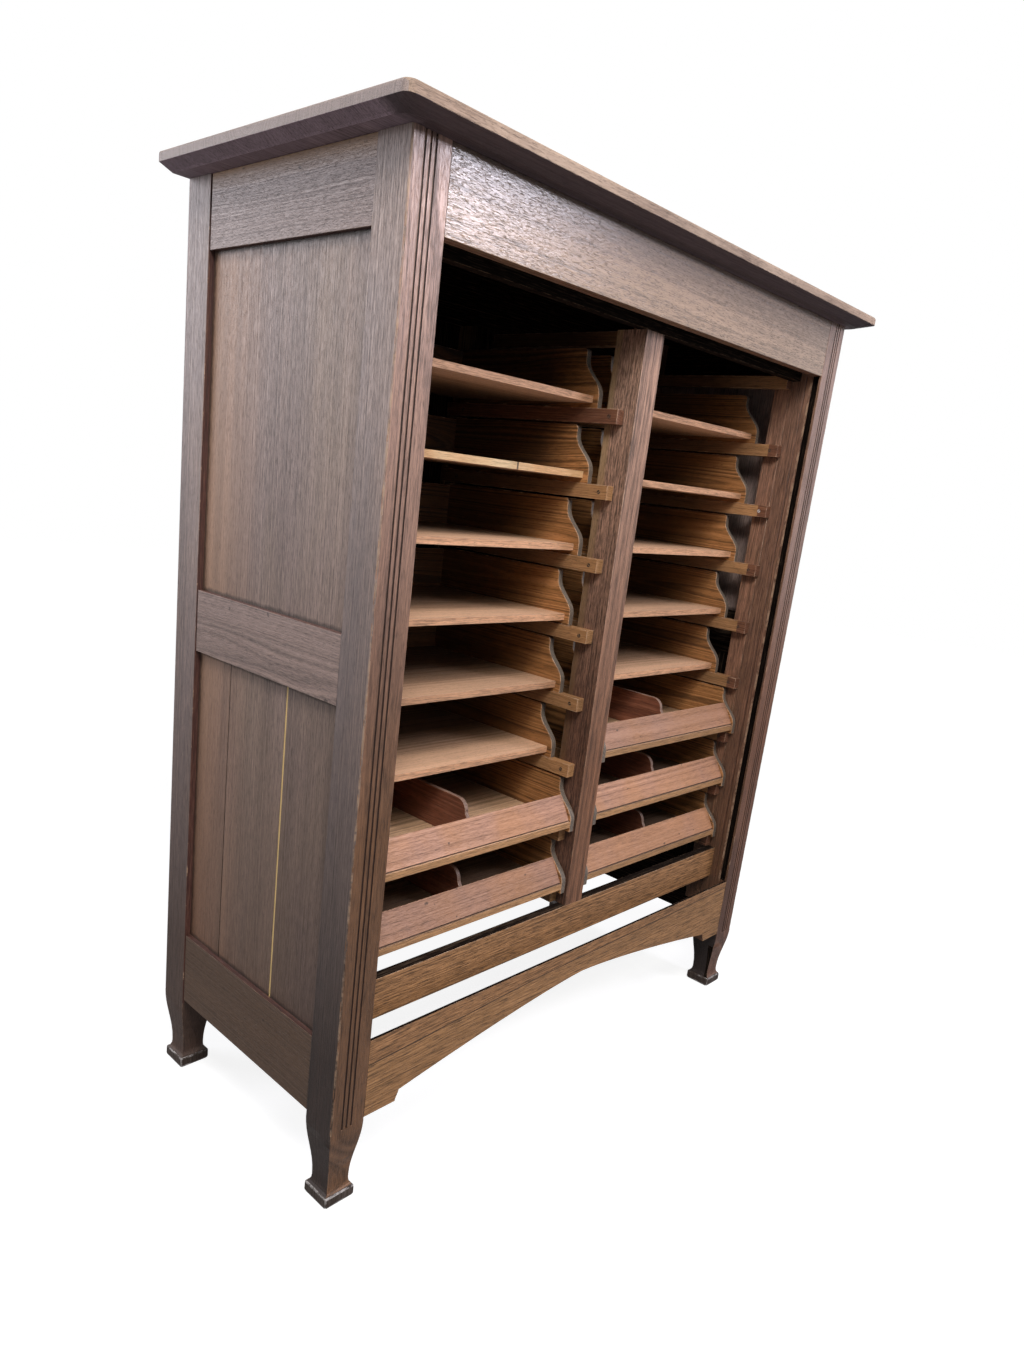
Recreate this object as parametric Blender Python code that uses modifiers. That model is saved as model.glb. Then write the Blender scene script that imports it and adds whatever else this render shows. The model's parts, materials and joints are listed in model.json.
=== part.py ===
"""A notary cabinet: a framed and panelled case with two columns of sliding document trays.

Lengths are in metres. A point inside the cabinet is (x, depth, z): x runs right from the middle,
depth runs back from the front faces of the posts, and z runs up from the floor. One empty carries
the whole cabinet, so that its box stands centred over the world's origin.
"""

import math

import bmesh
import bpy
from mathutils import Matrix, Vector

MM = 0.001

# Whole cabinet
TOTAL_HEIGHT = 1500 * MM
CASE_WIDTH = 1165 * MM
CASE_DEPTH = 500 * MM
FIT_GAP = 0.3 * MM
CUT_OVERRUN = 2 * MM
WELD_DISTANCE = 0.01 * MM
CURVE_STEPS = 8

# Top board
TOP_THICKNESS = 24 * MM
TOP_SIDE_OVERHANG = 47 * MM
TOP_FRONT_OVERHANG = 43 * MM
TOP_REAR_OVERHANG = 2 * MM
TOP_CORNER_RADIUS = 12 * MM
TOP_UPPER_ROUND = 5 * MM
TOP_BEVEL_HEIGHT = 9 * MM
TOP_BEVEL_WIDTH = 22 * MM
TOP_BEVEL_CORNER_RADIUS = 26 * MM

# Posts and feet
POST_SIZE = 62 * MM
LEG_TOP = 138 * MM
NECK_SIZE = 40 * MM
NECK_TOP = 38 * MM
FLARE_TOP = 33 * MM
PAD_SIZE = 55 * MM
PAD_HEIGHT = 20 * MM
PAD_CHAMFER = 3.5 * MM
REED_COUNT = 3
REED_FIRST = 20 * MM
REED_PITCH = 8.5 * MM
REED_RADIUS = 1.9 * MM
REED_DEPTH = 2.5 * MM
REED_SIDES = 12

# Grooves for the roller shutter, in the inner faces of the front posts
TRACK_FRONT = 5 * MM
TRACK_WIDTH = 12 * MM
TRACK_DEPTH = 10 * MM
QUIRK_FRONT = 29 * MM
QUIRK_WIDTH = 3 * MM
QUIRK_DEPTH = 3 * MM

# Joints between rails and posts
TENON_THICKNESS = 8 * MM
TENON_LENGTH = 28 * MM
TENON_INSET = 10 * MM
CENTRE_TENON_LENGTH = 20 * MM
PANEL_TONGUE = 7.5 * MM

# Sides
SIDE_RAIL_SETBACK = 1.5 * MM
SIDE_RAIL_THICKNESS = 22 * MM
TOP_RAIL_HEIGHT = 101 * MM
MIDDLE_RAIL_BOTTOM = 779 * MM
MIDDLE_RAIL_HEIGHT = 98.5 * MM
BOTTOM_RAIL_BOTTOM = 145 * MM
BOTTOM_RAIL_HEIGHT = 126 * MM
SIDE_PANEL_SETBACK = 9 * MM
SIDE_PANEL_THICKNESS = 10 * MM
FRONT_BOARD_WIDTH = 134 * MM
MIDDLE_BOARD_WIDTH = 152 * MM
OPEN_JOINT = 4 * MM
BOARD_TONGUE_THICKNESS = 3.5 * MM
BOARD_TONGUE_LENGTH = 7 * MM

# Front
FRONT_RAIL_SETBACK = 0.5 * MM
FRONT_RAIL_THICKNESS = 20 * MM
FRONT_TOP_RAIL_HEIGHT = 104 * MM
INNER_RAIL_THICKNESS = 18 * MM
HEAD_RAIL_DROP = 59 * MM
HEAD_RAIL_HEIGHT = 80 * MM
LOWER_RAIL_BOTTOM = 272 * MM
LOWER_RAIL_HEIGHT = 69.5 * MM
CENTRE_POST_WIDTH = 50 * MM
CENTRE_POST_DEPTH = 60 * MM
APRON_TOP = 273 * MM
APRON_BOTTOM = 141.5 * MM
APRON_BEVEL = 15 * MM
ARCH_FOOT_LENGTH = 61.5 * MM
ARCH_STEP_WIDTH = 6 * MM
ARCH_STEP_HEIGHT = 18.5 * MM
ARCH_RISE = 58 * MM
ARCH_POWER = 1.35

# Back
BACK_SETBACK = 2 * MM
BACK_RAIL_THICKNESS = 20 * MM
BACK_TOP_RAIL_HEIGHT = 100 * MM
BACK_PANEL_THICKNESS = 8 * MM

# Runners and the stiles that carry them; as many levels as fit above the lower front rail
FIRST_RUNNER_DROP = 127 * MM
LEVEL_PITCH = 123.7 * MM
LAST_RUNNER_CLEARANCE = 25 * MM
SPARE_RUNNER_RISE = 135 * MM
RUNNER_WIDTH = 18 * MM
RUNNER_HEIGHT = 24 * MM
WALL_RUNNER_FRONT = 58 * MM
CENTRE_RUNNER_FRONT = 67 * MM
STILE_DEPTH = 35 * MM
STILE_PROUD = 1 * MM
STILE_BOTTOM = 200 * MM
STILE_TOP_DROP = 60 * MM
BATTEN_THICKNESS = 12 * MM

# Trays and drawers
LEFT_DRAWERS = 2
RIGHT_DRAWERS = 3
TRAY_SIDE_CLEARANCE = 3 * MM
TRAY_REAR_CLEARANCE = 4 * MM
OPEN_TRAY_LENGTH = 348 * MM
DRAWER_LENGTH = 414 * MM
TRAY_SIDE_THICKNESS = 12 * MM
TRAY_TOP_CLEARANCE = 4 * MM
OGEE_BOTTOM = 22 * MM
OGEE_TOP_DROP = 17 * MM
OGEE_SET_BACK = 36 * MM
SIDE_CORNER_RADIUS = 6 * MM
FLOOR_THICKNESS = 11.5 * MM
FLOOR_RISE = 8 * MM
FLOOR_HOUSING = 4 * MM
OPEN_FLOOR_SETBACK = 11 * MM
DRAWER_FLOOR_SETBACK = 0.5 * MM
BACK_BOARD_THICKNESS = 10 * MM
BACK_BOARD_SETBACK = 1 * MM
BACK_BOARD_DROP = 3 * MM
FRONT_LEAN = math.radians(31)
FRONT_SETBACK = 2 * MM
FRONT_HEIGHT = 52 * MM
FRONT_THICKNESS = 10 * MM
WORN_CORNER_RADIUS = 22 * MM
WORN_DRAWER_FROM_BELOW = 2
DIVIDER_THICKNESS = 8 * MM
DIVIDER_TOP_DROP = 7 * MM
DIVIDER_ROUND = 21.5 * MM

# Places that follow from the sizes above
POST_TOP = TOTAL_HEIGHT - TOP_THICKNESS - FIT_GAP
HALF_WIDTH = CASE_WIDTH / 2
POST_INNER = HALF_WIDTH - POST_SIZE
REAR_POST_FRONT = CASE_DEPTH - POST_SIZE
SIDE_RAIL_OUTER = HALF_WIDTH - SIDE_RAIL_SETBACK
SIDE_RAIL_INNER = SIDE_RAIL_OUTER - SIDE_RAIL_THICKNESS
SIDE_PANEL_OUTER = SIDE_RAIL_OUTER - SIDE_PANEL_SETBACK
SIDE_PANEL_INNER = SIDE_PANEL_OUTER - SIDE_PANEL_THICKNESS
TOP_RAIL_BOTTOM = POST_TOP - TOP_RAIL_HEIGHT
MIDDLE_RAIL_TOP = MIDDLE_RAIL_BOTTOM + MIDDLE_RAIL_HEIGHT
BOTTOM_RAIL_TOP = BOTTOM_RAIL_BOTTOM + BOTTOM_RAIL_HEIGHT
FRONT_TOP_RAIL_BOTTOM = POST_TOP - FRONT_TOP_RAIL_HEIGHT
FRONT_RAIL_REAR = FRONT_RAIL_SETBACK + FRONT_RAIL_THICKNESS
INNER_RAIL_FRONT = POST_SIZE - INNER_RAIL_THICKNESS
HEAD_RAIL_TOP = TOTAL_HEIGHT - HEAD_RAIL_DROP
HEAD_RAIL_BOTTOM = HEAD_RAIL_TOP - HEAD_RAIL_HEIGHT
LOWER_RAIL_TOP = LOWER_RAIL_BOTTOM + LOWER_RAIL_HEIGHT
CENTRE_POST_HALF = CENTRE_POST_WIDTH / 2
BACK_RAIL_REAR = CASE_DEPTH - BACK_SETBACK
BACK_RAIL_FRONT = BACK_RAIL_REAR - BACK_RAIL_THICKNESS
BACK_RAIL_MIDDLE = (BACK_RAIL_FRONT + BACK_RAIL_REAR) / 2
BACK_TOP_RAIL_BOTTOM = POST_TOP - BACK_TOP_RAIL_HEIGHT
FIRST_RUNNER_TOP = HEAD_RAIL_BOTTOM - FIRST_RUNNER_DROP
RUNNER_SPACE = FIRST_RUNNER_TOP - LOWER_RAIL_TOP - LAST_RUNNER_CLEARANCE
LEVEL_COUNT = 1 + math.floor(RUNNER_SPACE / LEVEL_PITCH)
STILE_TOP = TOTAL_HEIGHT - STILE_TOP_DROP
RUNNER_REAR = BACK_RAIL_FRONT - FIT_GAP
TRAY_REAR = RUNNER_REAR - BATTEN_THICKNESS - TRAY_REAR_CLEARANCE
COLUMN_MIDDLE = (CENTRE_POST_HALF + POST_INNER) / 2
TRAY_HALF_WIDTH = (POST_INNER - CENTRE_POST_HALF) / 2 - TRAY_SIDE_CLEARANCE
TRAY_HALF_INSIDE = TRAY_HALF_WIDTH - TRAY_SIDE_THICKNESS
TRAY_SIDE_HEIGHT = LEVEL_PITCH - RUNNER_HEIGHT - TRAY_TOP_CLEARANCE
OGEE_TOP = TRAY_SIDE_HEIGHT - OGEE_TOP_DROP
DIVIDER_TOP = TRAY_SIDE_HEIGHT - DIVIDER_TOP_DROP
FLOOR_TOP = FLOOR_RISE + FLOOR_THICKNESS
FRONT_FOOT_DEPTH = FRONT_THICKNESS / math.cos(FRONT_LEAN)

# Colours of the woods
TOP_WOOD = (0.27, 0.19, 0.15)
POST_WOOD = (0.16, 0.10, 0.075)
RAIL_WOOD = (0.15, 0.09, 0.06)
PANEL_WOOD = (0.14, 0.10, 0.085)
BACK_WOOD = (0.20, 0.14, 0.09)
RUNNER_WOOD = (0.30, 0.19, 0.10)
TRAY_WOOD = (0.38, 0.21, 0.10)
FRONT_WOOD = (0.30, 0.15, 0.11)
DIVIDER_WOOD = (0.25, 0.12, 0.08)
WOOD_ROUGHNESS = 0.6

# Turns that stand a flat outline up: the first makes it (depth, z), the second (x, z)
LENGTHWISE = Matrix(((0, 0, 1, 0), (1, 0, 0, 0), (0, 1, 0, 0), (0, 0, 0, 1)))
CROSSWISE = Matrix.Rotation(math.pi / 2, 4, "X")

for old in list(bpy.data.objects):
    bpy.data.objects.remove(old)

cabinet = bpy.data.collections.new("notary_cabinet")
tools = bpy.data.collections.new("joinery_tools")
for collection in (cabinet, tools):
    bpy.context.scene.collection.children.link(collection)

carrier = bpy.data.objects.new("cabinet_carrier", None)
cabinet.objects.link(carrier)
carrier.location.y = (TOP_FRONT_OVERHANG - CASE_DEPTH - TOP_REAR_OVERHANG) / 2


def add_object(name, mesh, collection, location=(0, 0, 0)):
    """A new object of this mesh, carried with the cabinet."""
    made = bpy.data.objects.new(name, mesh)
    collection.objects.link(made)
    made.parent = carrier
    made.location = location
    return made


def stain(piece, colour):
    """Gives a piece its own wood."""
    wood = bpy.data.materials.new(piece.name + "_wood")
    wood.use_nodes = True
    shader = wood.node_tree.nodes["Principled BSDF"]
    shader.inputs["Base Color"].default_value = (*colour, 1)
    shader.inputs["Roughness"].default_value = WOOD_ROUGHNESS
    shader.inputs["Metallic"].default_value = 0
    if piece.data.materials:
        piece.material_slots[0].link = "OBJECT"
        piece.material_slots[0].material = wood
    else:
        piece.data.materials.append(wood)
    return piece


def mesh_from(name, shape):
    """The mesh of a bmesh, which is freed."""
    mesh = bpy.data.meshes.new(name)
    shape.to_mesh(mesh)
    shape.free()
    return mesh


def boxes_mesh(name, boxes):
    """A mesh of boxes, each given by its lowest and highest corner."""
    shape = bmesh.new()
    for low, high in boxes:
        low, high = Vector(low), Vector(high)
        size = Matrix.Diagonal((*(high - low), 1))
        bmesh.ops.create_cube(shape, size=1, matrix=Matrix.Translation((low + high) / 2) @ size)
    return mesh_from(name, shape)


def board(name, box, colour):
    """A squared board with its origin at its middle."""
    low, high = Vector(box[0]), Vector(box[1])
    middle = (low + high) / 2
    mesh = boxes_mesh(name, [(low - middle, high - middle)])
    return stain(add_object(name, mesh, cabinet, middle), colour)


def tool(name, mesh):
    """A hidden shape that cuts or joins."""
    made = add_object(name, mesh, tools)
    made.hide_render = True
    made.display_type = "WIRE"
    return made


def boxes_tool(name, boxes):
    """A hidden shape made of boxes."""
    return tool(name, boxes_mesh(name, boxes))


def work(piece, shape, operation):
    """Cuts a hidden shape out of a piece, or joins it on."""
    step = piece.modifiers.new(shape.name, "BOOLEAN")
    step.operation = operation
    step.object = shape
    step.solver = "EXACT"
    return piece


def cut(pieces, shape):
    """Cuts a hidden shape out of each piece."""
    for piece in pieces:
        work(piece, shape, "DIFFERENCE")


def grown(box, by=FIT_GAP):
    """A box that is larger on every side, as a mortise is round its tenon."""
    low, high = box
    return tuple(value - by for value in low), tuple(value + by for value in high)


def on_side(side, box):
    """A box of the right-hand side, or its mirror image on the left."""
    low, high = box
    ends = sorted((side * low[0], side * high[0]))
    return (ends[0], *low[1:]), (ends[1], *high[1:])


def plate_mesh(name, outline, thickness, turn):
    """A flat outline given an even thickness about its own plane, and stood up by a turn."""
    curve = bpy.data.curves.new(name, "CURVE")
    curve.dimensions = "2D"
    curve.fill_mode = "BOTH"
    curve.extrude = thickness / 2
    spline = curve.splines.new("POLY")
    spline.points.add(len(outline) - 1)
    for point, (across, up) in zip(spline.points, outline):
        point.co = (across, up, 0, 1)
    spline.use_cyclic_u = True
    guide = bpy.data.objects.new(name, curve)
    tools.objects.link(guide)
    graph = bpy.context.evaluated_depsgraph_get()
    flat = bpy.data.meshes.new_from_object(guide.evaluated_get(graph))
    bpy.data.objects.remove(guide)
    shape = bmesh.new()
    shape.from_mesh(flat)
    bpy.data.meshes.remove(flat)
    bmesh.ops.remove_doubles(shape, verts=shape.verts, dist=WELD_DISTANCE)
    bmesh.ops.transform(shape, matrix=turn, verts=shape.verts)
    bmesh.ops.recalc_face_normals(shape, faces=shape.faces)
    return mesh_from(name, shape)


def finished_mesh(piece):
    """The mesh that a piece has after its joints are worked; the piece itself is removed."""
    graph = bpy.context.evaluated_depsgraph_get()
    mesh = bpy.data.meshes.new_from_object(piece.evaluated_get(graph))
    bpy.data.objects.remove(piece)
    return mesh


def eased(share):
    """A smooth rise from 0 to 1."""
    return (1 - math.cos(math.pi * share)) / 2


def rail(name, box, along, colour):
    """A rail with a tenon at each end. Returns it with the box of its two tenons as one bar."""
    low, high = list(box[0]), list(box[1])
    made = board(name, box, colour)
    across = 1 - along
    middle = (low[across] + high[across]) / 2
    low[across], high[across] = middle - TENON_THICKNESS / 2, middle + TENON_THICKNESS / 2
    low[along], high[along] = low[along] - TENON_LENGTH, high[along] + TENON_LENGTH
    low[2], high[2] = low[2] + TENON_INSET, high[2] - TENON_INSET
    bar = tuple(low), tuple(high)
    work(made, boxes_tool(name + "_tenons", [bar]), "UNION")
    return made, bar


def mortise(pieces, name, bar):
    """Cuts the mortises of a bar of tenons in the pieces that it runs into."""
    cut(pieces, boxes_tool(name + "_mortises", [grown(bar)]))


def top_ring(inset, height, radius):
    """The top board's outline at one height: rounded front corners and a square rear edge."""
    half = HALF_WIDTH + TOP_SIDE_OVERHANG - inset
    front = inset - TOP_FRONT_OVERHANG
    rear = CASE_DEPTH + TOP_REAR_OVERHANG
    left_corner, right_corner = [], []
    for step in range(CURVE_STEPS + 1):
        angle = math.pi / 2 * step / CURVE_STEPS
        x = half - radius + radius * math.sin(angle)
        y = front + radius - radius * math.cos(angle)
        right_corner.append((x, y, height))
        left_corner.insert(0, (-x, y, height))
    return [(-half, rear, height), *left_corner, *right_corner, (half, rear, height)]


def make_top_board():
    rings = [top_ring(TOP_BEVEL_WIDTH, 0, TOP_BEVEL_CORNER_RADIUS)]
    rings.append(top_ring(0, TOP_BEVEL_HEIGHT, TOP_CORNER_RADIUS))
    round_steps = CURVE_STEPS // 2
    for step in range(round_steps + 1):
        angle = math.pi / 2 * step / round_steps
        inset = TOP_UPPER_ROUND * (1 - math.cos(angle))
        height = TOP_THICKNESS - TOP_UPPER_ROUND * (1 - math.sin(angle))
        rings.append(top_ring(inset, height, TOP_CORNER_RADIUS))
    shape = bmesh.new()
    loops = [[shape.verts.new(point) for point in ring] for ring in rings]
    for lower, upper in zip(loops, loops[1:]):
        for index, corner in enumerate(lower):
            following = (index + 1) % len(lower)
            shape.faces.new((corner, lower[following], upper[following], upper[index]))
    shape.faces.new(reversed(loops[0]))
    shape.faces.new(loops[-1])
    bmesh.ops.recalc_face_normals(shape, faces=shape.faces)
    seat = (0, 0, POST_TOP + FIT_GAP)
    stain(add_object("top_board", mesh_from("top_board", shape), cabinet, seat), TOP_WOOD)


def post_profile():
    """Half widths and heights down a post: square shaft, tapered leg, flared neck and pad."""
    profile = [(0, POST_TOP), (POST_SIZE / 2, POST_TOP)]
    for step in range(CURVE_STEPS + 1):
        share = step / CURVE_STEPS
        half = POST_SIZE / 2 - (POST_SIZE - NECK_SIZE) / 2 * eased(share)
        profile.append((half, LEG_TOP - (LEG_TOP - NECK_TOP) * share))
    flare_steps = CURVE_STEPS // 2
    for step in range(flare_steps + 1):
        angle = math.pi / 2 * step / flare_steps
        half = NECK_SIZE / 2 + (PAD_SIZE - NECK_SIZE) / 2 * (1 - math.cos(angle))
        profile.append((half, FLARE_TOP - (FLARE_TOP - PAD_HEIGHT) * math.sin(angle)))
    profile.append((PAD_SIZE / 2, PAD_CHAMFER))
    profile.append((PAD_SIZE / 2 - PAD_CHAMFER, 0))
    profile.append((0, 0))
    return profile


def make_post(name, side, depth):
    """A square post whose four sides are one profile turned in four steps."""
    shape = bmesh.new()
    corners = [shape.verts.new((half, half, height)) for half, height in post_profile()]
    for upper, lower in zip(corners, corners[1:]):
        shape.edges.new((upper, lower))
    place = (side * (HALF_WIDTH - POST_SIZE / 2), depth + POST_SIZE / 2, 0)
    post = add_object(name, mesh_from(name, shape), cabinet, place)
    turned = post.modifiers.new("four_sides", "SCREW")
    turned.axis = "Z"
    turned.angle = 2 * math.pi
    turned.steps = 4
    turned.render_steps = 4
    turned.use_merge_vertices = True
    turned.merge_threshold = WELD_DISTANCE
    turned.use_smooth_shade = False
    return stain(post, POST_WOOD)


def make_reeds(post, side):
    """Three round-bottomed grooves down the front face of a front post."""
    height = POST_TOP - LEG_TOP + CUT_OVERRUN
    shape = bmesh.new()
    for index in range(REED_COUNT):
        x = side * (HALF_WIDTH - REED_FIRST - REED_PITCH * index)
        middle = Matrix.Translation((x, REED_DEPTH - REED_RADIUS, LEG_TOP + height / 2))
        bmesh.ops.create_cone(
            shape,
            cap_ends=True,
            segments=REED_SIDES,
            radius1=REED_RADIUS,
            radius2=REED_RADIUS,
            depth=height,
            matrix=middle,
        )
    cut([post], tool(post.name + "_reeds", mesh_from(post.name + "_reeds", shape)))


def make_shutter_grooves(post, side):
    """The shutter's track and the fine quirk beside it, in a front post's inner face."""
    grooves = []
    for front, width, depth in (
        (TRACK_FRONT, TRACK_WIDTH, TRACK_DEPTH),
        (QUIRK_FRONT, QUIRK_WIDTH, QUIRK_DEPTH),
    ):
        low = (POST_INNER - CUT_OVERRUN, front, APRON_TOP)
        high = (POST_INNER + depth, front + width, FRONT_TOP_RAIL_BOTTOM)
        grooves.append(on_side(side, (low, high)))
    cut([post], boxes_tool(post.name + "_shutter_grooves", grooves))


def make_side(side, name, front_post, rear_post):
    """One side of the case: three rails, an upper panel and a lower panel of three boards."""
    rails = {}
    for level, bottom, top in (
        ("top", TOP_RAIL_BOTTOM, POST_TOP),
        ("middle", MIDDLE_RAIL_BOTTOM, MIDDLE_RAIL_TOP),
        ("bottom", BOTTOM_RAIL_BOTTOM, BOTTOM_RAIL_TOP),
    ):
        low = (SIDE_RAIL_INNER, POST_SIZE + FIT_GAP, bottom)
        high = (SIDE_RAIL_OUTER, REAR_POST_FRONT - FIT_GAP, top)
        rail_name = f"{name}_{level}_rail"
        rails[level], bar = rail(rail_name, on_side(side, (low, high)), 1, RAIL_WOOD)
        mortise([front_post, rear_post], rail_name, bar)

    front = POST_SIZE - PANEL_TONGUE
    rear = REAR_POST_FRONT + PANEL_TONGUE
    upper_low = (SIDE_PANEL_INNER, front, MIDDLE_RAIL_TOP - PANEL_TONGUE)
    upper_high = (SIDE_PANEL_OUTER, rear, TOP_RAIL_BOTTOM + PANEL_TONGUE)
    upper = on_side(side, (upper_low, upper_high))
    board(f"{name}_upper_panel", upper, PANEL_WOOD)
    neighbours = [front_post, rear_post, rails["middle"], rails["top"]]
    cut(neighbours, boxes_tool(f"{name}_upper_groove", [grown(upper)]))

    bottom = BOTTOM_RAIL_TOP - PANEL_TONGUE
    top = MIDDLE_RAIL_BOTTOM + PANEL_TONGUE
    lower = on_side(side, ((SIDE_PANEL_INNER, front, bottom), (SIDE_PANEL_OUTER, rear, top)))
    neighbours = [front_post, rear_post, rails["middle"], rails["bottom"]]
    cut(neighbours, boxes_tool(f"{name}_lower_groove", [grown(lower)]))

    first_joint = front + FRONT_BOARD_WIDTH
    second_joint = first_joint + OPEN_JOINT + MIDDLE_BOARD_WIDTH
    edges = (
        ("front", front, first_joint),
        ("middle", first_joint + OPEN_JOINT, second_joint),
        ("rear", second_joint + FIT_GAP, rear),
    )
    boards = {}
    for place, start, end in edges:
        box = on_side(side, ((SIDE_PANEL_INNER, start, bottom), (SIDE_PANEL_OUTER, end, top)))
        boards[place] = board(f"{name}_lower_board_{place}", box, PANEL_WOOD)
    middle = (SIDE_PANEL_INNER + SIDE_PANEL_OUTER) / 2
    tongue_inner = middle - BOARD_TONGUE_THICKNESS / 2
    tongue_outer = middle + BOARD_TONGUE_THICKNESS / 2
    for carried, grooved, joint, opening in (
        ("middle", "front", first_joint, OPEN_JOINT),
        ("rear", "middle", second_joint, FIT_GAP),
    ):
        low = (tongue_inner, joint - BOARD_TONGUE_LENGTH, bottom + PANEL_TONGUE)
        high = (tongue_outer, joint + opening + BOARD_TONGUE_LENGTH, top - PANEL_TONGUE)
        tongue = on_side(side, (low, high))
        joint_name = f"{name}_{carried}_board"
        work(boards[carried], boxes_tool(joint_name + "_tongue", [tongue]), "UNION")
        groove = (low[0], low[1], bottom - CUT_OVERRUN), (high[0], joint, top + CUT_OVERRUN)
        groove = on_side(side, grown(groove))
        cut([boards[grooved]], boxes_tool(joint_name + "_groove", [groove]))


def apron_outline():
    """The apron's outline in x and z: a straight top and a low arch between two level feet."""
    half = POST_INNER - FIT_GAP
    foot = half - ARCH_FOOT_LENGTH
    spring = foot - ARCH_STEP_WIDTH
    spring_height = APRON_BOTTOM + ARCH_STEP_HEIGHT
    right = [(half, APRON_TOP), (half, APRON_BOTTOM), (foot, APRON_BOTTOM)]
    for step in range(1, CURVE_STEPS):
        share = step / CURVE_STEPS
        height = APRON_BOTTOM + ARCH_STEP_HEIGHT * share
        right.append((foot - ARCH_STEP_WIDTH * eased(share), height))
    arch_steps = 2 * CURVE_STEPS
    for step in range(arch_steps):
        share = 1 - step / arch_steps
        height = spring_height + ARCH_RISE * (1 - share**ARCH_POWER)
        right.append((spring * share, height))
    crown = [(0, spring_height + ARCH_RISE)]
    return right + crown + [(-x, z) for x, z in reversed(right)]


def apron_bevel_mesh():
    """What is planed off the apron's upper rear edge, over its whole length."""
    start = FRONT_RAIL_REAR - APRON_BEVEL - CUT_OVERRUN
    end = FRONT_RAIL_REAR + CUT_OVERRUN
    foot = APRON_TOP - APRON_BEVEL - CUT_OVERRUN
    top = APRON_TOP + CUT_OVERRUN
    width = 2 * (POST_INNER + CUT_OVERRUN)
    return plate_mesh("front_apron_bevel", [(start, top), (end, foot), (end, top)], width, LENGTHWISE)


def make_apron(posts):
    """The shaped board under the shutter opening, tenoned into the front posts."""
    mesh = plate_mesh("front_apron", apron_outline(), FRONT_RAIL_THICKNESS, CROSSWISE)
    middle = FRONT_RAIL_SETBACK + FRONT_RAIL_THICKNESS / 2
    apron = stain(add_object("front_apron", mesh, cabinet, (0, middle, 0)), RAIL_WOOD)
    tenons = []
    for side in (-1, 1):
        low = (
            POST_INNER - ARCH_FOOT_LENGTH / 2,
            middle - TENON_THICKNESS / 2,
            APRON_BOTTOM + TENON_INSET,
        )
        high = (POST_INNER + TENON_LENGTH, middle + TENON_THICKNESS / 2, APRON_TOP - TENON_INSET)
        tenons.append(on_side(side, (low, high)))
    work(apron, boxes_tool("front_apron_tenons", tenons), "UNION")
    cut([apron], tool("front_apron_bevel", apron_bevel_mesh()))
    for post, tenon in zip(posts, tenons):
        mortise([post], f"{post.name}_apron", tenon)


def make_cross_rail(name, front, rear, bottom, top, posts):
    """A rail across the case between two posts."""
    half = POST_INNER - FIT_GAP
    box = ((-half, front, bottom), (half, rear, top))
    made, bar = rail(name, box, 0, RAIL_WOOD)
    mortise(posts, name, bar)
    return made


def make_centre_post(name, front, rear, tenon_depth, lower_rail, lower_top, upper_rail, upper_bottom):
    """An upright between two cross rails, with a stub tenon at each end."""
    low = (-CENTRE_POST_HALF, front, lower_top + FIT_GAP)
    high = (CENTRE_POST_HALF, rear, upper_bottom - FIT_GAP)
    post = board(name, (low, high), POST_WOOD)
    tenon_half = CENTRE_POST_HALF - TENON_INSET
    bar = (
        (-tenon_half, tenon_depth - TENON_THICKNESS / 2, low[2] - CENTRE_TENON_LENGTH),
        (tenon_half, tenon_depth + TENON_THICKNESS / 2, high[2] + CENTRE_TENON_LENGTH),
    )
    work(post, boxes_tool(name + "_tenons", [bar]), "UNION")
    mortise([lower_rail, upper_rail], name, bar)
    return post


def make_back(posts):
    """Two rails, an upright between them and a thin panel each side of it."""
    depths = (BACK_RAIL_FRONT, BACK_RAIL_REAR)
    top_rail = make_cross_rail("back_top_rail", *depths, BACK_TOP_RAIL_BOTTOM, POST_TOP, posts)
    bottom_rail = make_cross_rail(
        "back_bottom_rail", *depths, BOTTOM_RAIL_BOTTOM, BOTTOM_RAIL_TOP, posts
    )
    upright = make_centre_post(
        "centre_post_rear",
        BACK_RAIL_REAR - CENTRE_POST_DEPTH,
        BACK_RAIL_REAR,
        BACK_RAIL_MIDDLE,
        bottom_rail,
        BOTTOM_RAIL_TOP,
        top_rail,
        BACK_TOP_RAIL_BOTTOM,
    )
    for side, name, post in ((-1, "left", posts[0]), (1, "right", posts[1])):
        low = (
            CENTRE_POST_HALF - PANEL_TONGUE,
            BACK_RAIL_MIDDLE - BACK_PANEL_THICKNESS / 2,
            BOTTOM_RAIL_TOP - PANEL_TONGUE,
        )
        high = (
            POST_INNER + PANEL_TONGUE,
            BACK_RAIL_MIDDLE + BACK_PANEL_THICKNESS / 2,
            BACK_TOP_RAIL_BOTTOM + PANEL_TONGUE,
        )
        panel = on_side(side, (low, high))
        board(f"back_panel_{name}", panel, BACK_WOOD)
        groove = boxes_tool(f"back_panel_{name}_groove", [grown(panel)])
        cut([top_rail, bottom_rail, upright, post], groove)


def runner_tops(spare):
    """Heights of the runners' upper faces, from the highest down."""
    tops = [FIRST_RUNNER_TOP - LEVEL_PITCH * level for level in range(LEVEL_COUNT)]
    if spare:
        tops.insert(0, FIRST_RUNNER_TOP + SPARE_RUNNER_RISE)
    return tops


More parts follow.
